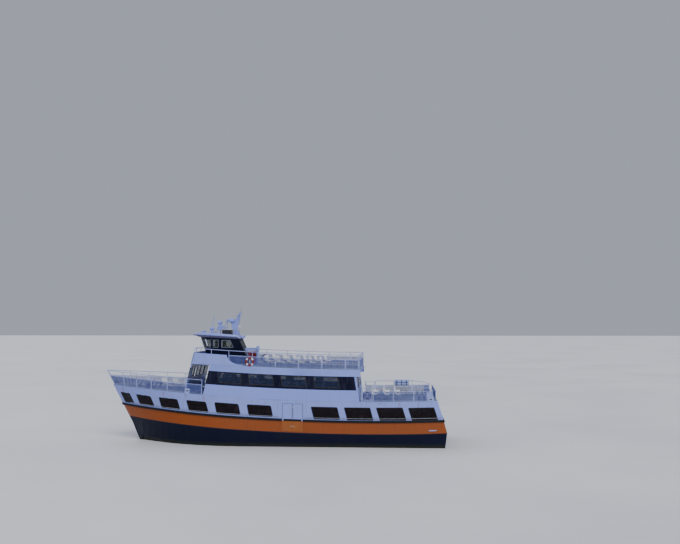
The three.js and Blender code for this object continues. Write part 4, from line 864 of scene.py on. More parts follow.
def seat_row(piece, x, y0, y1, deck_h, finish, rise=0.0):
    """A row of seats across the deck on two beams, two legs and their struts."""
    z = deck_h + sheer(x)
    count = round((y1 - y0) / 0.48)
    width = (y1 - y0) / count
    for k in range(count):
        seat_shell(piece, x, y0 + k * width + 0.008, y0 + (k + 1) * width - 0.008, z, finish, rise)
    piece.block((x - 0.02, (y0 + y1) / 2, z + 0.375), (0.05, y1 - y0 - 0.06, 0.035), bright_alloy, 0.005)
    piece.block((x + 0.12, (y0 + y1) / 2, z + 0.385), (0.04, y1 - y0 - 0.06, 0.03), bright_alloy, 0.005)
    # Columns: how far forward, height over the deck
    leg = ((0.05, 0.03), (0.05, 0.38))
    front_strut = ((-0.15, 0.345), (0.05, 0.26))
    back_strut = ((0.12, 0.37), (0.20, 0.44), (0.235, 0.62 + 0.4 * rise))
    for y in (y0 + 0.18, y1 - 0.18):
        for path, radius, sides in ((leg, 0.026, 10), (front_strut, 0.012, 8), (back_strut, 0.012, 8)):
            piece.pipe([(x + dx, y, z + dz) for dx, dz in path], radius, bright_alloy, sides)
        piece.block((x + 0.05, y, z + 0.02), (0.2, 0.09, 0.016), bright_alloy, 0.004)


def bench_runners(piece, xs, y0, y1, deck_h):
    """The two flat bars that the legs stand on."""
    for y in (y0 + 0.18, y1 - 0.18):
        rings = []
        for x in frames_between(min(xs) - 0.15, max(xs) + 0.15):
            z = deck_h + sheer(x)
            bar = ((-0.03, 0.002), (0.03, 0.002), (0.03, 0.012), (-0.03, 0.012))
            rings.append([(x, y + dy, z + dz) for dy, dz in bar])
        piece.loft(rings, bright_alloy)


# Columns: piece, x of each row, inner y, outer y, deck height, CAD node
for name, xs, y0, y1, deck_h, node in (
    ("sun_seat_rows", (-0.02, -0.87, -1.67, -2.5, -3.38, -4.2), 1.05, 2.95, SUN_DECK, "sun_benches_SIDE"),
    ("aft_seat_rows", (-8.07, -8.98, -9.8), 0.7, 2.3, UPPER_DECK, "aft_benches_SIDE"),
):
    bench = Piece()
    for x in xs:
        seat_row(bench, x, y0, y1, deck_h, seat_plastic)
    bench_runners(bench, xs, y0, y1, deck_h)
    bench.fit_pair(name, replaces=[node])
bench = Piece()
for x in (7.6, 8.5):
    seat_row(bench, x, -0.7, 0.7, UPPER_DECK, seat_plastic)
bench_runners(bench, (7.6, 8.5), -0.7, 0.7, UPPER_DECK)
bench.fit("bow_seat_rows", replaces=["bow_bench"])

# Boarding doors
# Two leaves a side, of white plate above and orange below, crossed by a strip of the rubber guard.
# Rubber strips edge the upper part, and a bar pull and two dogs stand by the edge where they meet.
GUARD_LOW = 1.85


def leaf_colours(tree):
    """The side's white, and below the guard the strake's orange."""
    low = blend_colour(tree, noise(tree, 2.0, 4.0), (0.32, 0.080, 0.0), (0.26, 0.064, 0.001))
    return blend_colour(tree, calc(tree, "GREATER_THAN", over_sheer(tree), GUARD_LOW), low, WHITE)


leaf_paint = paint("boarding_leaf_paint", leaf_colours, (0.20, 0.15, 0.14), 0.38, 0.14, (2.0, 3.0), 0.008)
HULL_FACE = 3.597
# Columns: name, x of the hinged edge, x of the edge where the leaves meet, way from there to the hinges
for name, hinge, lock, inward in (("fore", -1.236, -2.007, 1), ("aft", -2.784, -2.013, -1)):
    coat_solids(leaf_paint, f"boarding_door_{name}_SIDE")
    fittings = Piece()
    middle, (start, stop) = (hinge + lock) / 2, sorted((hinge, lock))
    ends = sorted((lock + 0.002 * inward, hinge - 0.11 * inward))
    rings = []
    for x in (ends[0], ends[0] + 0.02, ends[1] - 0.02, ends[1]):
        swell = 0.012 if x in ends else 0.045
        # Columns: how far out, height over the sheer line
        section = ((0, 1.825), (swell, GUARD_LOW), (swell + 0.008, 1.9), (swell, 1.95), (0, 1.975))
        rings.append([(x, HULL_FACE + out, sheer(x) + h) for out, h in section])
    fittings.loft(rings, guard_rubber)
    z = sheer(middle)
    strip = HULL_FACE + 0.003
    fittings.block((middle, strip, z + 3.10), (stop - start - 0.05, 0.006, 0.018), seal_rubber, 0.002)
    for x in (start + 0.025, stop - 0.025):
        fittings.block((x, strip, z + 2.55), (0.018, 0.006, 1.1), seal_rubber, 0.002)
    pull = ((0, 2.28), (0.045, 2.30), (0.045, 2.58), (0, 2.60))
    fittings.pipe([(lock + 0.09 * inward, HULL_FACE + out, z + h) for out, h in pull], 0.011, bright_alloy)
    dog_stem = [(0.03, -0.002), (0.03, 0.01), (0.016, 0.014), (0.016, 0.03)]
    for h in (1.45, 2.85):
        fittings.turned(dog_stem, (lock + 0.10 * inward, HULL_FACE, z + h), bright_alloy, (0, 1, 0))
        fittings.block((lock + 0.07 * inward, HULL_FACE + 0.026, z + h), (0.12, 0.014, 0.028), bright_alloy)
    fittings.fit_pair(f"boarding_fittings_{name}", body=f"boarding_door_{name}_SIDE")

# Main cabin
# Rows of seats with moulded brown shells on metal legs, a dado of brown laminate along the sides, and
# light strips under the deck above.
laminate, tree = new_finish("brown_laminate")
grain = noise(tree, 3.0, 6.0, stretch=(1.5, 1.5, 14))
brown = blend_colour(tree, ramp(tree, grain, 0.35, 0.65), (0.075, 0.034, 0.016), (0.14, 0.07, 0.035))
lay(laminate, brown, ramp(tree, grain, 0.3, 0.7, 0.3, 0.45), bump(tree, grain, 0.2, 0.001))
brown_seat = moulded("brown_seat_shell", (0.11, 0.05, 0.028), (0.17, 0.09, 0.05), 0.35)
lamp_cover = moulded("lamp_cover", (0.72, 0.73, 0.74), (0.6, 0.6, 0.58), 0.3)
MAIN_DECK = 1.0


def cabin_rows(name, xs, y0, y1, deck_h, finish, rise):
    rows = Piece()
    for x in xs:
        seat_row(rows, x, y0, y1, deck_h, finish, rise)
    rows.fit_pair(name)


for name, first, count in (("aft", -11.9, 6), ("fore", 0.3, 7)):
    xs = [first + 0.95 * k for k in range(count)]
    cabin_rows(f"main_cabin_seats_{name}", xs, 1.0, 2.95, MAIN_DECK, brown_seat, 0.24)
for name, start, stop in (("aft", -12.9, -2.95), ("fore", -1.05, 10.6)):
    dado = Piece()
    rings = []
    for x in frames_between(start, stop):
        foot, top = edge(x, MAIN_DECK + 0.01), edge(x, 1.97)
        section = ((foot, 0.055), (top, 0.055), (top, 0.085), (foot, 0.085))
        rings.append([point - out_by(inset) for point, inset in section])
    dado.loft(rings, laminate)
    dado.fit_pair(f"dado_{name}")


def light_strips(name, xs, y, ceiling):
    strips = Piece()
    for x in xs:
        z = ceiling + sheer(x)
        strips.block((x, y, z - 0.035), (1.2, 0.16, 0.05), lamp_cover, 0.015)
        strips.block((x, y, z - 0.006), (1.24, 0.2, 0.012), bright_alloy, 0.003)
    strips.fit_pair(name)


light_strips("main_cabin_lights", (-11, -8.5, -4.5, -1, 1.5, 4, 6.5), 1.5, 3.29)

# Stern wall and windows
# A white plate wall welded between the sides, with three windows over the guard. The panes are tinted
# like the sides' and held in the same black seals.
def on_stern(y, z, depth):
    """The stern wall's raked face."""
    x = STERN[0]
    for _ in range(3):
        x = stern_at(z - sheer(x))
    return Vector((x + depth, y, z))


stern_panes = Piece()
for y in (-2.45, -0.8, 0.85):
    glaze(stern_panes, oblong(y, y + 1.6, 2.15, 2.98, 0.05), on_stern, window_glass, seal_rubber)
stern_panes.fit("stern_windows")

# Upper cabin windows
# Long panes in the navy band, leaning aft at their ends. The glass is greyer than below, and black
# rubber seals hold it.
cabin_glass = tinted_glass("upper_cabin_glass", (0.022, 0.030, 0.066), 0.5, 2.0, 0.2)
UPPER_LEVELS = (UPPER_DECK, 5.2)
# Columns: fore top x, aft top x, lean, low height, high height, corner radius
UPPER_WINDOWS = (
    (3.67, 1.92, 0.06, 4.38, 5.13, 0.07), (1.33, -0.5, 0.09, 4.38, 5.15, 0.07),
    (-1.09, -2.96, 0.13, 4.37, 5.14, 0.07), (-3.56, -5.37, 0.15, 4.34, 5.14, 0.07),
)
upper_panes = Piece()
for row in UPPER_WINDOWS:
    glaze(upper_panes, side_window(*row), on_side(UPPER_LEVELS), cabin_glass, seal_rubber)
upper_panes.fit_pair("upper_windows")

# Windscreen, cabin end walls and their doors
# The bowed front of the porch and the flat walls behind it hold framed panes on either side of a door.
# Each door has its own pane, kick plate and lever, and swings on the port side.
clear_glass = tinted_glass("clear_glass", (0.02, 0.09, 0.13), 0.3)
screen_glass = tinted_glass("windscreen_glass", (0.006, 0.055, 0.10), 0.66, 2.0, 0.2)


def on_screen(y, z, depth):
    """The windscreen's raked and bowed face."""
    x = 6.0
    for _ in range(3):
        h = z - sheer(x)
        reach = edge(front_at(h), h).y - 0.09
        x = front_at(h) + 0.26 * (1 - (y / reach) ** 2)
    return Vector((x - depth, y, z))


screen_panes = Piece()
SCREEN_Z = sheer(front_at(4.8))
for side in (1, -1):
    for y0, y1 in ((0.51, 1.33), (1.43, 2.25), (2.35, 3.09)):
        walk = oblong(side * y0, side * y1, 4.49 + SCREEN_Z, 5.31 + SCREEN_Z, 0.04)
        glaze(screen_panes, walk, on_screen, screen_glass, seal_rubber)
screen_panes.fit("windscreen_panes")


def raked_plane(x0, x1, z0, z1, outward):
    """A flat raked wall: x at its foot and head, and which way its outside looks along the ship."""
    return lambda y, z, depth: Vector((x0 + (x1 - x0) * (z - z0) / (z1 - z0) - outward * depth, y, z))


WALL_HEAD = 5.6297
WALL_RISE = WALL_HEAD - UPPER_DECK
FRONT_Z, BACK_Z = sheer(4.77), sheer(-6.92)
# Columns: name, x at the foot, x at the head, the sheer's rise there, which way the outside looks
for name, x0, x1, z0, outward in (("front", 4.77, 4.29, FRONT_Z, 1), ("back", -6.97, -6.64, BACK_Z, -1)):
    wall = raked_plane(x0, x1, UPPER_DECK + z0, WALL_HEAD + z0, outward)
    panes = Piece()
    for y in (-2.5, 0.9):
        glaze(panes, oblong(y, y + 1.6, 4.3 + z0, 5.15 + z0, 0.05), wall, cabin_glass, seal_rubber)
    panes.fit(f"cabin_{name}_panes")


def door_set(name, body, face, half, low, high, thick):
    """Glass, kick plates and levers of a hinged door. face gives its outer face from y and z."""
    fit_out = Piece()
    walk = oblong(0.13 - half, half - 0.13, low + 0.95, high - 0.15, 0.03)
    glaze(fit_out, walk, face, clear_glass, seal_rubber, depth=thick / 2)
    lever_y, lever_z = 0.065 - half, low + 1.0
    for deep, way in ((0, -1), (thick, 1)):
        kick = []
        for side, h in ((-1, 0.05), (1, 0.05), (1, 0.3), (-1, 0.3)):
            kick.append(face(side * (half - 0.04), low + h, deep + 0.0002 * way))
        through = face(0, low, deep + 0.003 * way) - face(0, low, deep)
        fit_out.plate(kick, through, bright_alloy)
        rose = [face(lever_y, lever_z, deep + way * d) for d in (0.0, 0.008, 0.05)]
        fit_out.pipe(rose[:2], 0.026, bright_alloy, 12)
        fit_out.pipe(rose[1:], 0.010, bright_alloy, 10)
        fit_out.pipe([rose[2], face(lever_y + 0.12, lever_z, deep + 0.05 * way)], 0.009, bright_alloy, 10)
    fit_out.fit(name, body)


def leaf_face(x, z, rake):
    """A leaf's outer face: x and z of its foot, and how far it rakes aft for each metre up."""
    return lambda y, up, depth: Vector((x - rake * (up - z - UPPER_DECK) - depth, y, up))


# Columns: door, x at its foot, rake, the sheer's rise there, half width, foot, head, thickness
for door, x, rake, z, half, low, high, thick in (
    ("windscreen_door", 6.615, 0.25, SCREEN_Z, 0.384, 3.476, 5.394, 0.0433),
    ("cabin_front_door", 4.765, 0.48 / WALL_RISE, FRONT_Z, 0.394, 3.474, 5.374, 0.0409),
    ("cabin_back_door", -6.925, -0.33 / WALL_RISE, BACK_Z, 0.394, 3.466, 5.366, 0.0404),
):
    door_set(f"{door}_fittings", door, leaf_face(x, z, rake), half, low + z, high + z, thick)

# Upper cabin
# The same seats in a pale shell, high enough in the back to show over the sills, and light strips.
# The rows stop short of the stairs.
pale_seat = moulded("pale_seat_shell", (0.45, 0.46, 0.52), (0.3, 0.3, 0.34), 0.35)
aft_rows = [*(-2.3 - 0.85 * k for k in range(4)), -1.4]
cabin_rows("upper_cabin_seats_aft", aft_rows, 1.0, 3.0, UPPER_DECK, pale_seat, 0.2)
cabin_rows("upper_cabin_seats_fore", (-0.5, 2.5, 3.35), 1.75, 3.0, UPPER_DECK, pale_seat, 0.2)
light_strips("upper_cabin_lights", (-5.5, -3, -0.5, 2), 1.7, 5.625)

# Pilothouse windows
# Panes all round in pale frames, with round white posts at the corners. The forward ones lean out over
# the deck to shed rain and have wipers.
HOUSE_HALF = 0.85
BROW_HALF = 0.44
# The house's heights count from the sun deck's where x is 3.3
HOUSE_Z = SUN_DECK + sheer(3.3)
# Heights of the panes' sills, and of the heads of the forward and after ones
SILL, PANE_HEAD, AFTER_HEAD = 1.215, 1.80, 1.74
# Columns: x at the deck and x at the roof
HOUSE_BACK = (1.70, 2.60)
HOUSE_QUARTER = (4.66, 5.30)
HOUSE_FRONT = (5.08, 5.72)


def house_head(x):
    """Height of the walls' heads, which rise towards the bow."""
    return HOUSE_Z + 1.885 + 0.05 * (x - HOUSE_BACK[1])


def leaning(line, z):
    """Where a leaning edge of the walls stands at a height."""
    foot = SUN_DECK + sheer(line[0])
    return line[0] + (line[1] - line[0]) * (z - foot) / (house_head(line[1]) - foot)


def house_walk(spots, radius):
    return rounded([(u, HOUSE_Z + level) for u, level in spots], radius)


def house_rect(u0, u1, high, radius=0.04):
    return oblong(u0, u1, HOUSE_Z + SILL, HOUSE_Z + high, radius)


def house_side(side):
    return lambda x, z, depth: Vector((x, side * (HOUSE_HALF - depth), z))


def house_front(y, z, depth):
    return Vector((leaning(HOUSE_FRONT, z) - depth, y, z))


def house_corner(side):
    def place(y, z, depth):
        aft = Vector((leaning(HOUSE_QUARTER, z), HOUSE_HALF))
        fore = Vector((leaning(HOUSE_FRONT, z), BROW_HALF))
        share = (HOUSE_HALF - side * y) / (HOUSE_HALF - BROW_HALF)
        way = (fore - aft).normalized()
        point = aft + (fore - aft) * share - depth * Vector((-way.y, way.x))
        return Vector((point.x, side * point.y, z))
    return place


def house_back(y, z, depth):
    return Vector((leaning(HOUSE_BACK, z) + depth, y, z))


house_glass = tinted_glass("pilothouse_glass", (0.03, 0.04, 0.035), 0.4)
post_white = moulded("post_white", (0.62, 0.66, 0.80), (0.40, 0.42, 0.55), 0.35)
pale_frame = moulded("pale_window_frame", (0.16, 0.18, 0.26), (0.09, 0.10, 0.14), 0.4)
house_panes = Piece()
QUARTER_PANE = ((4.83, SILL), (4.975, SILL), (5.14, PANE_HEAD), (4.83, PANE_HEAD))
AFTER_PANE = ((3.02, SILL), (3.975, SILL), (3.975, 1.78), (3.29, 1.78))
for side in (1, -1):
    for walk, face in (
        (house_walk(QUARTER_PANE, 0.03), house_side(side)),
        (house_rect(4.215, 4.635, PANE_HEAD), house_side(side)),
        (house_rect(*sorted((side * 0.03, side * 0.39)), PANE_HEAD, 0.03), house_front),
        (house_rect(*sorted((side * 0.50, side * 0.77)), PANE_HEAD, 0.03), house_corner(side)),
    ):
        glaze(house_panes, walk, face, house_glass, pale_frame, 0.02)
glaze(house_panes, house_walk(AFTER_PANE, 0.05), house_side(1), house_glass, pale_frame, 0.02)
glaze(house_panes, house_rect(-0.6, 0.6, AFTER_HEAD), house_back, house_glass, seal_rubber, 0.02)
for side in (1, -1):
    for line, half in ((HOUSE_FRONT, BROW_HALF), (HOUSE_QUARTER, HOUSE_HALF)):
        ends = []
        for level in (1.34, 1.87):
            z = HOUSE_Z + level
            ends.append((leaning(line, z) + 0.004, side * (half + 0.004), z))
        house_panes.pipe(ends, 0.036, post_white, 10)
for y in (0.21, -0.21, 0.62, -0.62):
    face = house_front if abs(y) < BROW_HALF else house_corner(1 if y > 0 else -1)
    root, pivot = (face(y, HOUSE_Z + 1.86, depth) for depth in (0.01, -0.03))
    house_panes.pipe([root, pivot], 0.014, seal_rubber)
    house_panes.pipe([pivot, face(y + 0.06, HOUSE_Z + 1.40, -0.02)], 0.006, seal_rubber)
    blade = [face(y + 0.05, HOUSE_Z + 1.66, -0.01), face(y + 0.07, HOUSE_Z + 1.26, -0.01)]
    house_panes.pipe(blade, 0.006, seal_rubber)
house_panes.fit("pilothouse_panes")

house_door = Piece()
DOOR_FACE = 0.845


def door_plane(x, z, depth):
    return Vector((x, depth - DOOR_FACE, z))


glaze(house_door, house_rect(3.54, 3.95, AFTER_HEAD, 0.03), door_plane, house_glass, pale_frame, 0.02)
for way in (-1, 1):
    y = 0.02 * (1 + way) - DOOR_FACE
    out = y + 0.045 * way
    lever = [(3.49, y, HOUSE_Z + 1.08), (3.49, out, HOUSE_Z + 1.08), (3.60, out, HOUSE_Z + 1.08)]
    house_door.pipe(lever, 0.010, bright_alloy)
house_door.fit("pilothouse_door_fittings", "pilothouse_door")

# Helm
# A laminate console under the forward windows, with a spoked wheel and screens in grey plastic. The
# chair is bolted to the deck by a column of bright metal.
helm = Piece()
console = moulded("console_grey", (0.05, 0.055, 0.06), (0.09, 0.09, 0.09), 0.5)
for y in (-0.38, 0.38):
    helm.block((4.42, y, HOUSE_Z + 0.55), (0.40, 0.66, 0.96), laminate, 0.02)
# The top and its screens slope towards the helmsman's seat
slope = Matrix.Rotation(math.radians(-18), 3, "Y")
helm.block((4.40, 0, HOUSE_Z + 1.06), (0.46, 1.44, 0.06), console, 0.02, slope)
for y in (-0.46, 0, 0.46):
    helm.block((4.52, y, HOUSE_Z + 1.17), (0.05, 0.38, 0.22), console, 0.015, slope)
hub = Vector((4.08, 0, HOUSE_Z + 0.9))
helm.pipe([hub + Vector((0.15, 0, -0.02)), hub], 0.03, bright_alloy)
WHEEL, GRIP = 0.25, 0.014
rings = []
for k, t in enumerate(angles(24)):
    way = Vector((0, math.cos(t), math.sin(t)))
    rings.append([hub + Vector((GRIP * math.sin(a), 0, 0)) + way * (WHEEL + GRIP * math.cos(a))
                  for a in angles(8)])
    if k % 4 == 0:
        helm.pipe([hub + way * 0.02, hub + way * WHEEL], 0.009, bright_alloy)
helm.loft(rings, laminate, True)
helm.fit("helm")
helm_chair = Piece()
CHAIR_X = 3.4
chair_z = SUN_DECK + sheer(CHAIR_X)
column = [(0.2, 0.002), (0.2, 0.02), (0.05, 0.04), (0.04, 0.5), (0.1, 0.53)]
helm_chair.turned(column, (CHAIR_X, 0, chair_z), bright_alloy)
turned_seat = Piece()
seat_shell(turned_seat, 0, -0.25, 0.25, chair_z + 0.12, console, 0.15)
helm_chair.shell([(CHAIR_X + 0.02 - x, y, z) for x, y, z in turned_seat.points], turned_seat.faces, console)
helm_chair.fit("helm_chair")

# Pilothouse roof
# A white sandwich roof with a visor that thins forward, over an inward-sloping white soffit coloured darker
# as painted shade.
# It carries a hatch, a boxed skylight, an aerial dome with a whip, the searchlight's stand and
# floodlights on its after edge.
gloss_white = paint("gloss_white", WHITE, WHITE_GRIME, 0.28, 0.35, (2.5, 2.5), 0.004)
# The soffit's darker violet-grey is painted shade under the roof's edge; the real soffit is the roof's white.
soffit_painted_shade = moulded("soffit_painted_shade", (0.15, 0.14, 0.27), (0.09, 0.08, 0.15), 0.45)
smoked = moulded("smoked_hatch", (0.006, 0.007, 0.010), (0.02, 0.02, 0.03), 0.2)
# Columns: x, half width, how far the underside lifts off the walls' heads, height of the top
ROOF = (
    (2.52, 0.88, 0, 1.985), (2.72, 0.94, 0, 2.200), (5.30, 0.94, 0, 2.385), (5.76, 0.88, 0, 2.400),
    (6.29, 0.76, 0.15, 2.270),
)


def roof_top(x):
    """Height of the roof's top on the centreline."""
    row = [k for k in range(len(ROOF) - 1) if ROOF[k][0] <= x][-1]
    (x0, _, _, z0), (x1, _, _, z1) = ROOF[row], ROOF[row + 1]
    return HOUSE_Z + z0 + (z1 - z0) * (x - x0) / (x1 - x0)


roof = Piece()
# Columns: how far in from the edge and how far up, as shares of the roof's depth there
SOFFIT = ((0.45, 0.001), (0.30, 0.001), (0.03, 0.42), (0.012, 0.455), (0.06, 0.47))
CROWN = (
    (0.07, 0.46), (0.015, 0.475), (0.0, 0.49), (0.0, 0.52), (0.02, 0.72), (0.06, 0.86), (0.13, 0.93),
    (0.25, 0.975), (0.40, 1.0),
)
# The soffit's shell takes the painted shade, and the crown the white paint.
for bends, finish in ((SOFFIT, soffit_painted_shade), (CROWN, gloss_white)):
    rings = []
    for x, half, lift, top in ROOF:
        low, high = house_head(x) + lift, HOUSE_Z + top
        deep = high - low
        rings.append(both_halves([(x, half - inset * deep, low + up * deep) for inset, up in bends]))
    roof.loft(rings, finish)


def roof_box(x0, x1, half, high, finish):
    """A box standing on the roof with a lid that overhangs it a little."""
    rings = []
    for inset, level in ((0.0, None), (0.0, high - 0.03), (0.008, high - 0.028)):
        ring = []
        aft, fore, side = x0 + inset, x1 - inset, half - inset
        for x, y in ((aft, -side), (aft, side), (fore, side), (fore, -side)):
            ring.append((x, y, level or roof_top(x) - 0.004))
        rings.append(ring)
    roof.loft(rings, finish)
    centre = ((x0 + x1) / 2, 0, high - 0.016)
    roof.block(centre, (x1 - x0 + 0.02, 2 * half + 0.02, 0.030), finish, 0.010)


roof_box(5.48, 5.74, 0.28, 8.59, gloss_white)
roof_box(3.255, 4.045, 0.35, 8.655, smoked)
for x in (3.45, 3.65, 3.85):
    for side in (1, -1):
        roof.block((x, side * 0.352, 8.50), (0.15, 0.008, 0.17), smoked, 0.003)
AERIAL_X, AERIAL_Y = 4.81, 0.45
aerial_z = roof_top(AERIAL_X)
dome_line = [
    (0.125, 0.001), (0.125, 0.014), (0.108, 0.02), (0.104, 0.245), (0.12, 0.262), (0.19, 0.292),
    (0.203, 0.31), (0.212, 0.36), (0.210, 0.39), (0.196, 0.425), (0.165, 0.452), (0.10, 0.466),
    (0.055, 0.47), (0.046, 0.49), (0.036, 0.50)]
roof.turned(dome_line, (AERIAL_X, AERIAL_Y, aerial_z), gloss_white, sides=28)
roof.pipe([(4.79, AERIAL_Y, aerial_z + 0.46), (4.672, AERIAL_Y, 9.835)], 0.032, gloss_white, 12, 0.027)
roof.pipe([(4.765, AERIAL_Y, 8.95), (4.752, AERIAL_Y, 9.05)], 0.038, bright_alloy, 12)
LIGHT_X = 4.2
light_foot = roof_top(LIGHT_X)
for x, y in ((4.28, -0.2), (4.28, 0.2), (4.62, 0)):
    foot, head = Vector((x, y, roof_top(x))), Vector(((x + LIGHT_X) / 2, y / 2, light_foot + 0.36))
    roof.pipe([foot - up_by(0.01), head], 0.029, gloss_white, 12)
    roof.turned([(0.07, 0.0), (0.07, 0.01), (0.04, 0.016)], foot, gloss_white, sides=16)
braces = [(x, y, roof_top(x) + 0.17) for x, y in ((4.26, -0.14), (4.26, 0.14), (4.50, 0))]
for a, b in sides_of(braces):
    roof.pipe([a, b], 0.012, gloss_white)
STAND_X = 4.205
roof.block((STAND_X, 0, light_foot + 0.40), (0.63, 0.30, 0.16), gloss_white, 0.025)
roof.block((STAND_X, 0, light_foot + 0.471), (0.60, 0.27, 0.016), gloss_white, 0.006)
roof.block((3.96, 0.155, light_foot + 0.40), (0.10, 0.012, 0.10), bright_alloy, 0.004)
roof.fit("roof", replaces=["pilothouse_roof"])

roof_gear = Piece()
lens = moulded("clear_lens", (0.75, 0.76, 0.78), (0.6, 0.62, 0.66), 0.12)
lamp_bowl = [(0.05, 0.0), (0.085, 0.03), (0.11, 0.1), (0.118, 0.13), (0.104, 0.132)]
for y, level in ((0.52, 2.06), (0.08, 1.98), (-0.5, 2.10)):
    head = Vector((2.46, y, HOUSE_Z + level))
    roof_gear.pipe([(2.60, y, HOUSE_Z + 1.98), (2.52, y, HOUSE_Z + level + 0.02), head], 0.018, gloss_white)
    roof_gear.turned(lamp_bowl, head, gloss_white, (-1, 0, -0.5))
    roof_gear.turned([(0.1, 0.118), (0.06, 0.132), (0.01, 0.136)], head, lens, (-1, 0, -0.5))
# Columns: radius, share of the horn's length
HORN = ((0.02, 0), (0.024, 0.6), (0.045, 0.88), (0.085, 1), (0.078, 1), (0.03, 0.8))
HORN_X, HORN_Y = 4.75, -0.55
for level, length in ((0.07, 0.42), (0.16, 0.34)):
    horn = [(radius, share * length) for radius, share in HORN]
    z = roof_top(HORN_X)
    roof_gear.turned(horn, (HORN_X, HORN_Y, z + level), bright_alloy, (1, 0, 0))
    roof_gear.block((HORN_X + 0.01, HORN_Y, z + level / 2), (0.05, 0.05, level), bright_alloy)
roof_gear.fit("roof_lights_and_horn")

# Mast
# A box mast raked aft from a lamp box, flanged along its edges, with rungs, a cross arm with lamps,
# a bracket for the radar dome and a bent stay under the dome's front.
mast = Piece()
# Columns: foot, head
MAST_AFT, MAST_FORE, MAST_HALF = (2.97, 2.56), (3.23, 2.76), (0.10, 0.06)
MAST_HEAD = 10.04
MAST_NIP = 0.015
SEAT_GAP = 0.0003


def mast_ring(share, grow=0.0):
    """The post's eight-cornered section a share of the way up."""
    aft, fore, half = ((1 - share) * low + share * high for low, high in (MAST_AFT, MAST_FORE, MAST_HALF))
    half += grow
    ends = []
    for x, foot_x in ((aft, MAST_AFT[0]), (fore, MAST_FORE[0])):
        foot = roof_top(foot_x) + SEAT_GAP
        ends.append((x, foot + (MAST_HEAD - foot) * share))
    (aft, aft_z), (fore, fore_z) = ends
    aft, fore, side = aft - grow, fore + grow, half - MAST_NIP
    port = [(aft, side, aft_z), (aft + MAST_NIP, half, aft_z)]
    port += [(fore - MAST_NIP, half, fore_z), (fore, side, fore_z)]
    return both_halves(port)


mast.loft([mast_ring(share) for share in (0, 0.25, 0.5, 0.75, 0.99)] + [mast_ring(1.0, -0.006)], gloss_white)
for share in (0.3, 0.6, 0.84):
    mast.loft([mast_ring(share, 0.006), mast_ring(share + 0.012, 0.006)], gloss_white)
for corner in (1, 2, 5, 6):
    mast.pipe([mast_ring(0.01)[corner], mast_ring(0.985)[corner]], 0.016, rail_white, 6)
for k in range(5):
    share = 0.46 + 0.11 * k
    x, half, z = mast_ring(share)[1]
    mast.pipe(both_halves([(x + 0.03, half, z), (x - 0.03, half + 0.05, z)]), 0.009, gloss_white)
# Columns: x and z of the bracket's corners
GUSSET = (
    (2.95, 8.70), (3.215, 8.665), (3.345, 8.803), (3.345, 9.172), (3.436, 9.238), (3.436, 9.283),
    (3.115, 9.283), (3.036, 9.45), (2.84, 9.82), (2.75, 9.82),
)
for y in (-0.058, 0.046):
    mast.plate([(x, y, z) for x, z in GUSSET], (0, 0.012, 0), gloss_white)
for (x0, z0), (x1, z1) in zip(GUSSET[1:8], GUSSET[2:9]):
    mast.pipe([(x0, 0.052, z0), (x1, 0.052, z1)], 0.011, rail_white, 6)
    sheet = [(x0, -0.05, z0), (x0, 0.05, z0), (x1, 0.05, z1), (x1, -0.05, z1)]
    mast.plate(sheet, (-0.010, 0, 0.002), gloss_white)
for stay in (
    ((3.80, 8.66), (3.83, 9.0), (3.825, 9.33), (3.79, 9.39), (3.70, 9.40)),
    ((3.66, 8.66), (3.665, 9.0), (3.66, 9.30)),
):
    mast.pipe([(x, 0, z) for x, z in stay], 0.026, gloss_white, 10)
for z in (8.88, 9.2):
    mast.pipe([(3.66, 0, z), (3.825, 0, z)], 0.024, gloss_white, 10)
mast.block((3.74, 0, 8.662), (0.26, 0.12, 0.014), gloss_white, 0.004)
mast.block((3.2, 0, 9.283), (0.46, 0.15, 0.012), gloss_white, 0.004)
mast.block((2.72, 0, 8.93), (0.17, 0.13, 0.15), lens, 0.02)
ARM_X, ARM_Z = 2.68, 9.90
mast.pipe([(ARM_X, -0.6, ARM_Z), (ARM_X, 0.6, ARM_Z)], 0.021, gloss_white, 10)
for y in (-0.32, 0.32):
    mast.pipe([(ARM_X, y, ARM_Z), (ARM_X + 0.05, 0.2 * y, ARM_Z - 0.25)], 0.012, gloss_white)
lamp_black = moulded("lamp_black", (0.02, 0.02, 0.022), (0.05, 0.05, 0.05), 0.4)
for x, y, z in ((ARM_X, 0.56, 9.92), (ARM_X, -0.56, 9.92), (3.0, 0, 9.83), (2.66, 0, MAST_HEAD)):
    mast.turned([(0.05, 0), (0.058, 0.012), (0.05, 0.03)], (x, y, z), lamp_black, sides=14)
    mast.turned([(0.046, 0.03), (0.05, 0.06), (0.046, 0.1)], (x, y, z), lens, sides=14)
    mast.turned([(0.055, 0.1), (0.055, 0.115), (0.02, 0.135)], (x, y, z), lamp_black, sides=14)
mast.block((2.91, 0, 9.81), (0.28, 0.08, 0.03), gloss_white)
mast.pipe([(2.60, 0.03, 10.0), (2.58, 0.03, 10.56)], 0.012, lamp_black, 8, 0.006)
mast.pipe([(2.66, 0.45, 9.9), (2.60, 0.5, roof_top(2.6))], 0.006, lamp_black, 6)
BOX_X = 2.865
box_low, box_high = roof_top(2.73) + SEAT_GAP, 8.62
mast.block((BOX_X, 0, (box_low + box_high) / 2), (0.27, 0.34, box_high - box_low), gloss_white, 0.02)
mast.block((BOX_X, 0, box_high - 0.012), (0.31, 0.38, 0.024), gloss_white, 0.008)
dome = [
    (0.08, 0.0), (0.26, 0.0), (0.305, 0.012), (0.324, 0.04), (0.330, 0.075), (0.330, 0.128),
    (0.322, 0.132), (0.322, 0.140), (0.330, 0.144), (0.328, 0.19), (0.312, 0.228), (0.27, 0.258),
    (0.2, 0.272), (0.1, 0.278), (0.004, 0.28)]
mast.turned(dome, (3.4, 0, 9.29), gloss_white, sides=40)
mast.fit("mast_and_radar", replaces=["mast"])

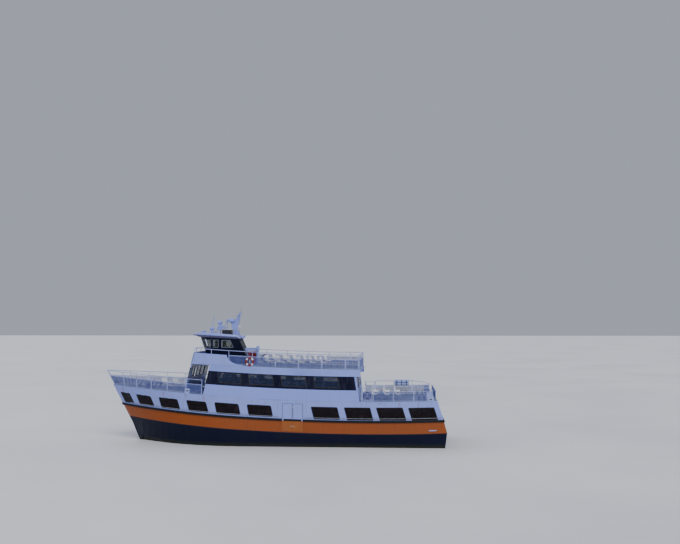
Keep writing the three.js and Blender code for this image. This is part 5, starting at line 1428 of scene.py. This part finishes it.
# Searchlight
# A drum lamp with a ribbed back on a short column, over a gear case that turns on the boxed stand.
# It is sheet metal under white enamel, with a clear lens.
LAMP_Z = light_foot + 0.48 + SEAT_GAP
DRUM_Z = LAMP_Z + 0.41
COLUMN_X = LIGHT_X + 0.06
searchlight = Piece()
searchlight.block((LIGHT_X, 0, LAMP_Z + 0.095), (0.515, 0.255, 0.188), gloss_white, 0.03)
searchlight.block((LIGHT_X, 0, LAMP_Z + 0.10), (0.52, 0.26, 0.02), rail_white, 0.006)
searchlight.block((3.99, 0, LAMP_Z + 0.205), (0.09, 0.16, 0.05), bright_alloy, 0.012)
column = [(0.079, 0.18), (0.079, 0.21), (0.062, 0.225), (0.06, 0.30), (0.07, 0.32)]
searchlight.turned(column, (COLUMN_X, 0, LAMP_Z), gloss_white, sides=24)
for y in (-0.158, 0.146):
    cheek = ((-0.05, 0.22), (0.05, 0.22), (0.04, 0.44), (-0.04, 0.44))
    searchlight.plate([(COLUMN_X + dx, y, LAMP_Z + dz) for dx, dz in cheek], (0, 0.012, 0), gloss_white)
searchlight.block((COLUMN_X, 0, LAMP_Z + 0.228), (0.1, 0.316, 0.016), gloss_white)
# Columns: radius, how far forward
drum = [
    (0.03, -0.108), (0.09, -0.105), (0.120, -0.08), (0.126, -0.04), (0.128, 0.06), (0.140, 0.13),
    (0.154, 0.21), (0.159, 0.254), (0.146, 0.259), (0.136, 0.235)]
searchlight.turned(drum, (LIGHT_X, 0, DRUM_Z), gloss_white, (1, 0, 0), 32)
glass_line = [(0.138, 0.226), (0.11, 0.243), (0.06, 0.253), (0.005, 0.257)]
searchlight.turned(glass_line, (LIGHT_X, 0, DRUM_Z), lens, (1, 0, 0), 32)
rib = [(0.122, -0.002), (0.1315, 0.0), (0.1315, 0.004), (0.122, 0.006)]
for k in range(4):
    searchlight.turned(rib, (LIGHT_X - 0.06 + 0.026 * k, 0, DRUM_Z), gloss_white, (1, 0, 0), 32)
searchlight.fit("searchlight_lamp", "searchlight", ["searchlight"])

# Stair hood
# A white hood over the stairhead behind the pilothouse, its front leaning forward and its after end
# open. Its sides are red slats under a white panel.
slat_red = moulded("slat_red", (0.30, 0.012, 0.016), (0.14, 0.015, 0.02), 0.4)
hood = Piece()
HOOD_AFT = 1.0
HOOD_X, HOOD_LEAN = 1.45, 0.4
hood_low = SUN_DECK + sheer(HOOD_AFT) + 0.0005
HOOD_TOP = hood_low + 1.33
HOOD_PANEL = 0.23
HOOD_SHEET = 0.038


def hood_front(z):
    """Where the hood's leaning front stands at a height."""
    return HOOD_X + HOOD_LEAN * (z - SUN_DECK - sheer(HOOD_X))


def hood_band(y, low, high, inset):
    """A flat band on one side of the hood, cut to its leaning front."""
    fore = [(hood_front(z) - inset, y, z) for z in (low, high)]
    hood.plate([(HOOD_AFT, y, low), *fore, (HOOD_AFT, y, high)], (0, HOOD_SHEET, 0), gloss_white)


for y in (0.77, 1.592):
    hood_band(y, HOOD_TOP - HOOD_PANEL, HOOD_TOP - 0.03, 0.003)
    post = (HOOD_AFT + 0.03, y + HOOD_SHEET / 2, (hood_low + HOOD_TOP) / 2 - 0.02)
    hood.block(post, (0.06, HOOD_SHEET, 1.28), gloss_white)
    hood_band(y, SUN_DECK + 0.0012 + sheer(HOOD_X), hood_low + 0.12, 0.004)
    for k in range(10):
        z = hood_low + 0.17 + 0.092 * k
        end = hood_front(z) - 0.02
        start, low, high = HOOD_AFT + 0.05, (y + 0.004, z), (y + 0.034, z + 0.05)
        hood.plate([(start, *low), (end, *low), (end, *high), (start, *high)], (0, 0, 0.014), slat_red)
front_sheet = []
for z, ys in ((hood_low + 0.03, (0.775, 1.625)), (HOOD_TOP - 0.03, (1.625, 0.775))):
    front_sheet += [(hood_front(z) - 0.03, y, z) for y in ys]
hood.plate(front_sheet, (0.026, 0, 0), gloss_white)
lid_rings = []
for level, grow, lip in ((-0.05, 0.01, 0.012), (-0.04, 0, 0), (-0.012, 0, 0), (0, 0.014, 0.012)):
    aft, fore = HOOD_AFT - 0.03 + lip, hood_front(HOOD_TOP) - 0.003
    y0, y1 = 0.745 + grow, 1.655 - grow
    lid_rings.append([(x, y, HOOD_TOP + level) for x, y in ((aft, y1), (aft, y0), (fore, y0), (fore, y1))])
hood.loft(lid_rings, gloss_white)
hood.fit("stair_hood_slatted", replaces=["stair_hood"])

# Deck vent
# A tall cowl of spun steel on a pipe by the stairhead, welded to a foot plate on the sun deck.
# It has the roof's white paint, and three raised bands.
vent = Piece()
vent_at = (0.85, 2.15, SUN_DECK + sheer(0.85) + 0.003)
vent_pipe = [(0.105, 0.0), (0.105, 0.012), (0.078, 0.016), (0.075, 0.05), (0.074, 1.17)]
cowl = [
    (0.09, 1.13), (0.126, 1.14), (0.134, 1.16), (0.134, 1.19), (0.122, 1.20), (0.120, 1.38), (0.134, 1.39),
    (0.134, 1.42), (0.118, 1.47), (0.08, 1.505), (0.03, 1.516), (0.004, 1.518)]
bands = []
for level in (0.25, 0.62, 0.95):
    bands.append([(0.072, level), (0.08, level + 0.004), (0.08, level + 0.016), (0.072, level + 0.02)])
for line in (vent_pipe, cowl, *bands):
    vent.turned(line, vent_at, gloss_white, sides=28)
vent.fit("tall_vent", replaces=["deck_vent"])

# Life float
# Two buoyant floats in white skins, one on the other, with webbing bands, on a steel stand.
# It stands at the starboard rail of the after deck.
float_white = moulded("float_white", (0.26, 0.33, 0.66), (0.19, 0.22, 0.42), 0.5, 3.0, 0.002)
webbing = moulded("webbing", (0.03, 0.035, 0.06), (0.07, 0.075, 0.1), 0.8, 20.0, 0.001)
life_float = Piece()
FLOAT_X = -10.15
FLOAT_Z = UPPER_DECK + sheer(FLOAT_X)
FLOAT_MIDDLE = Vector((FLOAT_X, -2.85, 0))
FLOAT_HALF = (0.5, 0.4)
CORNER = 0.2
TUBE = 0.095


def float_ring(z, bulge):
    """The float's rounded oblong in plan, at a height and moved out by the tube's bulge there."""
    ring = []
    for cx, cy, start in ((1, 1, 0), (-1, 1, 90), (-1, -1, 180), (1, -1, 270)):
        for k in range(5):
            t = math.radians(start + 22.5 * k)
            x = cx * (FLOAT_HALF[0] - CORNER) + (CORNER + bulge) * math.cos(t)
            y = cy * (FLOAT_HALF[1] - CORNER) + (CORNER + bulge) * math.sin(t)
            ring.append(FLOAT_MIDDLE + Vector((x, y, z)))
    return ring


for low in (0.785, 0.985):
    axis = FLOAT_Z + low + TUBE
    tube = [float_ring(axis + TUBE * math.sin(t), TUBE * math.cos(t)) for t in angles(10)]
    life_float.loft(tube, float_white, True)
    for k in range(4):
        slat = (FLOAT_MIDDLE.x - 0.36 + 0.24 * k, FLOAT_MIDDLE.y, FLOAT_Z + low + 0.06)
        life_float.block(slat, (0.07, 0.7, 0.02), float_white, 0.006)
    for x in (-0.38, 0, 0.38):
        for side in (1, -1):
            hoop = []
            for t in angles(12):
                ring = []
                for dx, r in ((-0.025, 0.102), (0.025, 0.102), (0.025, 0.106), (-0.025, 0.106)):
                    spot = (x + dx, side * FLOAT_HALF[1] + r * math.cos(t), axis + r * math.sin(t))
                    ring.append(FLOAT_MIDDLE + Vector(spot))
                hoop.append(ring)
            life_float.loft(hoop, webbing, True)
# The stand's legs at its four corners, beams under the float, and braces low down
LEG_X, LEG_Y = (-10.5, -9.8), (-3.25, -2.5)
leg_foot = [(0.05, 0.002), (0.05, 0.010), (0.03, 0.014)]
for x in LEG_X:
    deck = UPPER_DECK + sheer(x)
    for y in LEG_Y:
        life_float.pipe([(x, y, deck + 0.005), (x, y, FLOAT_Z + 0.77)], 0.02, bright_alloy, 10)
        life_float.turned(leg_foot, (x, y, deck), bright_alloy, sides=12)
    life_float.block((x, FLOAT_MIDDLE.y, FLOAT_Z + 0.77), (0.05, 0.94, 0.03), bright_alloy, 0.004)
    life_float.pipe([(x, y, FLOAT_Z + 0.3) for y in LEG_Y], 0.014, bright_alloy)
for y in LEG_Y:
    life_float.pipe([(x, y, FLOAT_Z + 0.3) for x in LEG_X], 0.014, bright_alloy)
life_float.fit("life_float_stack", replaces=["life_float"])

# Life rings
# Hard-shelled rings in red with four white bands. One a side hangs on a bracket outside the sun
# deck's rail, and a third inside the port gate of the after deck.
ring_red = moulded("ring_red", (0.22, 0.006, 0.014), (0.13, 0.010, 0.02), 0.35)
ring_white = moulded("ring_white", (0.62, 0.64, 0.70), (0.4, 0.4, 0.45), 0.4)
RING_RADIUS, RING_THICK = 0.27, 0.07


def life_ring(piece, at, bracket):
    """A ring flat along the ship's side, with its bracket so far inboard.

    Twelve steps make a quarter of it: eight are red, and four white and a little fuller.
    """
    for quarter in range(4):
        for first, last, finish, swell in (
            (0, 8, ring_red, RING_THICK), (8, 12, ring_white, RING_THICK + 0.003),
        ):
            rings = []
            for turn in range(12 * quarter + first, 12 * quarter + last + 1):
                t = 2 * math.pi * (turn - 4) / 48
                way = Vector((math.cos(t), 0, math.sin(t)))
                section = [(swell * math.cos(a), 0.75 * swell * math.sin(a)) for a in angles(14)]
                rings.append([at + way * (RING_RADIUS + wide) + out_by(proud) for wide, proud in section])
            piece.loft(rings, finish)
    piece.block(at - out_by(bracket), (0.05, 0.05, 0.3), bright_alloy, 0.005)


RING_X, RING_H = 1.24, 6.067
life_rings = Piece()
life_ring(life_rings, edge(RING_X, SUN_DECK) + Vector((0, 0.06, RING_H - SUN_DECK)), 0.06)
life_rings.fit_pair("life_rings")
gate_ring = Piece()
gate_middle = Vector(((GATE_FORE + GATE_AFT) / 2, gate_y - 0.095, gate_z + 0.43))
life_ring(gate_ring, gate_middle, -0.055)
gate_ring.fit("gate_life_ring", body="gate_port")

# Deck fittings
# Double bollards, chock plates with an oval eye in the rails, scuppers, a step on the quarter, a
# windlass with its chain pipe, and side lights under the pilothouse roof. All are cast or fabricated.
iron = moulded("painted_iron", (0.17, 0.19, 0.30), (0.10, 0.09, 0.11), 0.5, 8.0, 0.002)
deck_gear = Piece()
bollard = [
    (0.085, 0.02), (0.075, 0.04), (0.072, 0.26), (0.088, 0.275), (0.09, 0.3), (0.06, 0.315), (0.01, 0.318)]
for x, y in ((9.6, 1.25), (5.6, 2.75), (-8.3, 2.95), (-11.6, 2.8)):
    z = UPPER_DECK + sheer(x)
    deck_gear.block((x, y, z + 0.012), (0.62, 0.22, 0.02), iron, 0.006)
    for dx in (-0.19, 0.19):
        deck_gear.turned(bollard, (x + dx, y, z), iron, sides=24)
# Columns: x, height of the eye, half length of the plate, half height of the plate
for x, z, long, tall in ((6.06, 4.07, 0.2, 0.17), (-12.25, 3.57, 0.2, 0.15)):
    spot = edge(x, UPPER_DECK)
    y = spot.y - 0.02
    foot = max(z - tall, spot.z + 0.006)
    deck_gear.block((x, y, (foot + z + tall) / 2), (2 * long, 0.016, z + tall - foot), rail_white, 0.004)
    eye, lip = [], []
    for t in angles(24):
        ring = []
        for a in angles(8):
            r, proud = 0.1 + 0.026 * math.cos(a), 0.006 + 0.018 * math.sin(a)
            ring.append((x + 1.2 * r * math.cos(t), y + proud, z + 0.62 * r * math.sin(t)))
        lip.append(ring)
        eye.append((x + 0.11 * math.cos(t), y + 0.008, z + 0.056 * math.sin(t)))
    deck_gear.plate(eye, (0, 0.003, 0), seal_rubber)
    deck_gear.loft(lip, rail_white, True)
SCUPPER_Z = 3.225
# Columns of each: radius, how far out of the plating
scupper_lip = [(0.034, -0.006), (0.04, 0.004), (0.04, 0.008), (0.03, 0.008)]
scupper_hole = [(0.03, 0.0), (0.03, 0.0085), (0.004, 0.0095)]
for x in (-8.44, -8.62):
    spot = on_side(MAIN_LEVELS)(x, SCUPPER_Z)
    deck_gear.turned(scupper_lip, spot, rail_white, (0, 1, 0), 14)
    deck_gear.turned(scupper_hole, spot, seal_rubber, (0, 1, 0), 14)
# Columns: how far out, how far up
STEP = ((0.0, -0.04), (0.03, -0.03), (0.04, 0.0), (0.03, 0.03), (0.0, 0.04))
step_rings = []
for x in (-12.64, -12.36, -12.08):
    step_rings.append([edge(x, 1.22) + Vector((0, out - 0.004, rise)) for out, rise in STEP])
deck_gear.loft(step_rings, rail_white)
deck_gear.fit_pair("deck_gear")
windlass = Piece()
WINDLASS_X = 9.9
wz = UPPER_DECK + sheer(WINDLASS_X)
windlass.block((WINDLASS_X, 0, wz + 0.03), (0.8, 0.9, 0.05), iron, 0.01)
for y in (-0.28, 0.28):
    windlass.block((WINDLASS_X, y, wz + 0.2), (0.30, 0.1, 0.32), iron, 0.04)
drums = [
    (0.12, -0.44), (0.13, -0.42), (0.08, -0.38), (0.07, -0.32), (0.11, -0.3), (0.11, 0.3), (0.07, 0.32),
    (0.08, 0.38), (0.13, 0.42), (0.12, 0.44)]
windlass.turned(drums, (WINDLASS_X, 0, wz + 0.27), iron, (0, 1, 0), 28)
chain_pipe = [(0.12, 0), (0.12, 0.12), (0.09, 0.16), (0.085, 0.2)]
PIPE_X = 10.7
windlass.turned(chain_pipe, (PIPE_X, 0, UPPER_DECK + sheer(PIPE_X)), iron, sides=20)
windlass.fit("windlass")
for name, y, glow in (
    ("side_light_port", 0.885, (0.25, 0.006, 0.004)), ("side_light_stbd", -0.885, (0.004, 0.16, 0.035)),
):
    side_light = Piece()
    glow_lens = moulded(f"{name}_lens", glow, tuple(0.6 * c for c in glow), 0.15)
    spot = (4.75, y, HOUSE_Z + 1.84)
    side_light.block(spot, (0.16, 0.06, 0.11), lamp_black, 0.01)
    lens_line = [(0.026, 0.07), (0.028, 0.085), (0.022, 0.10), (0.008, 0.106)]
    side_light.turned(lens_line, spot, glow_lens, (1, 0, 0), 14)
    side_light.fit(name)
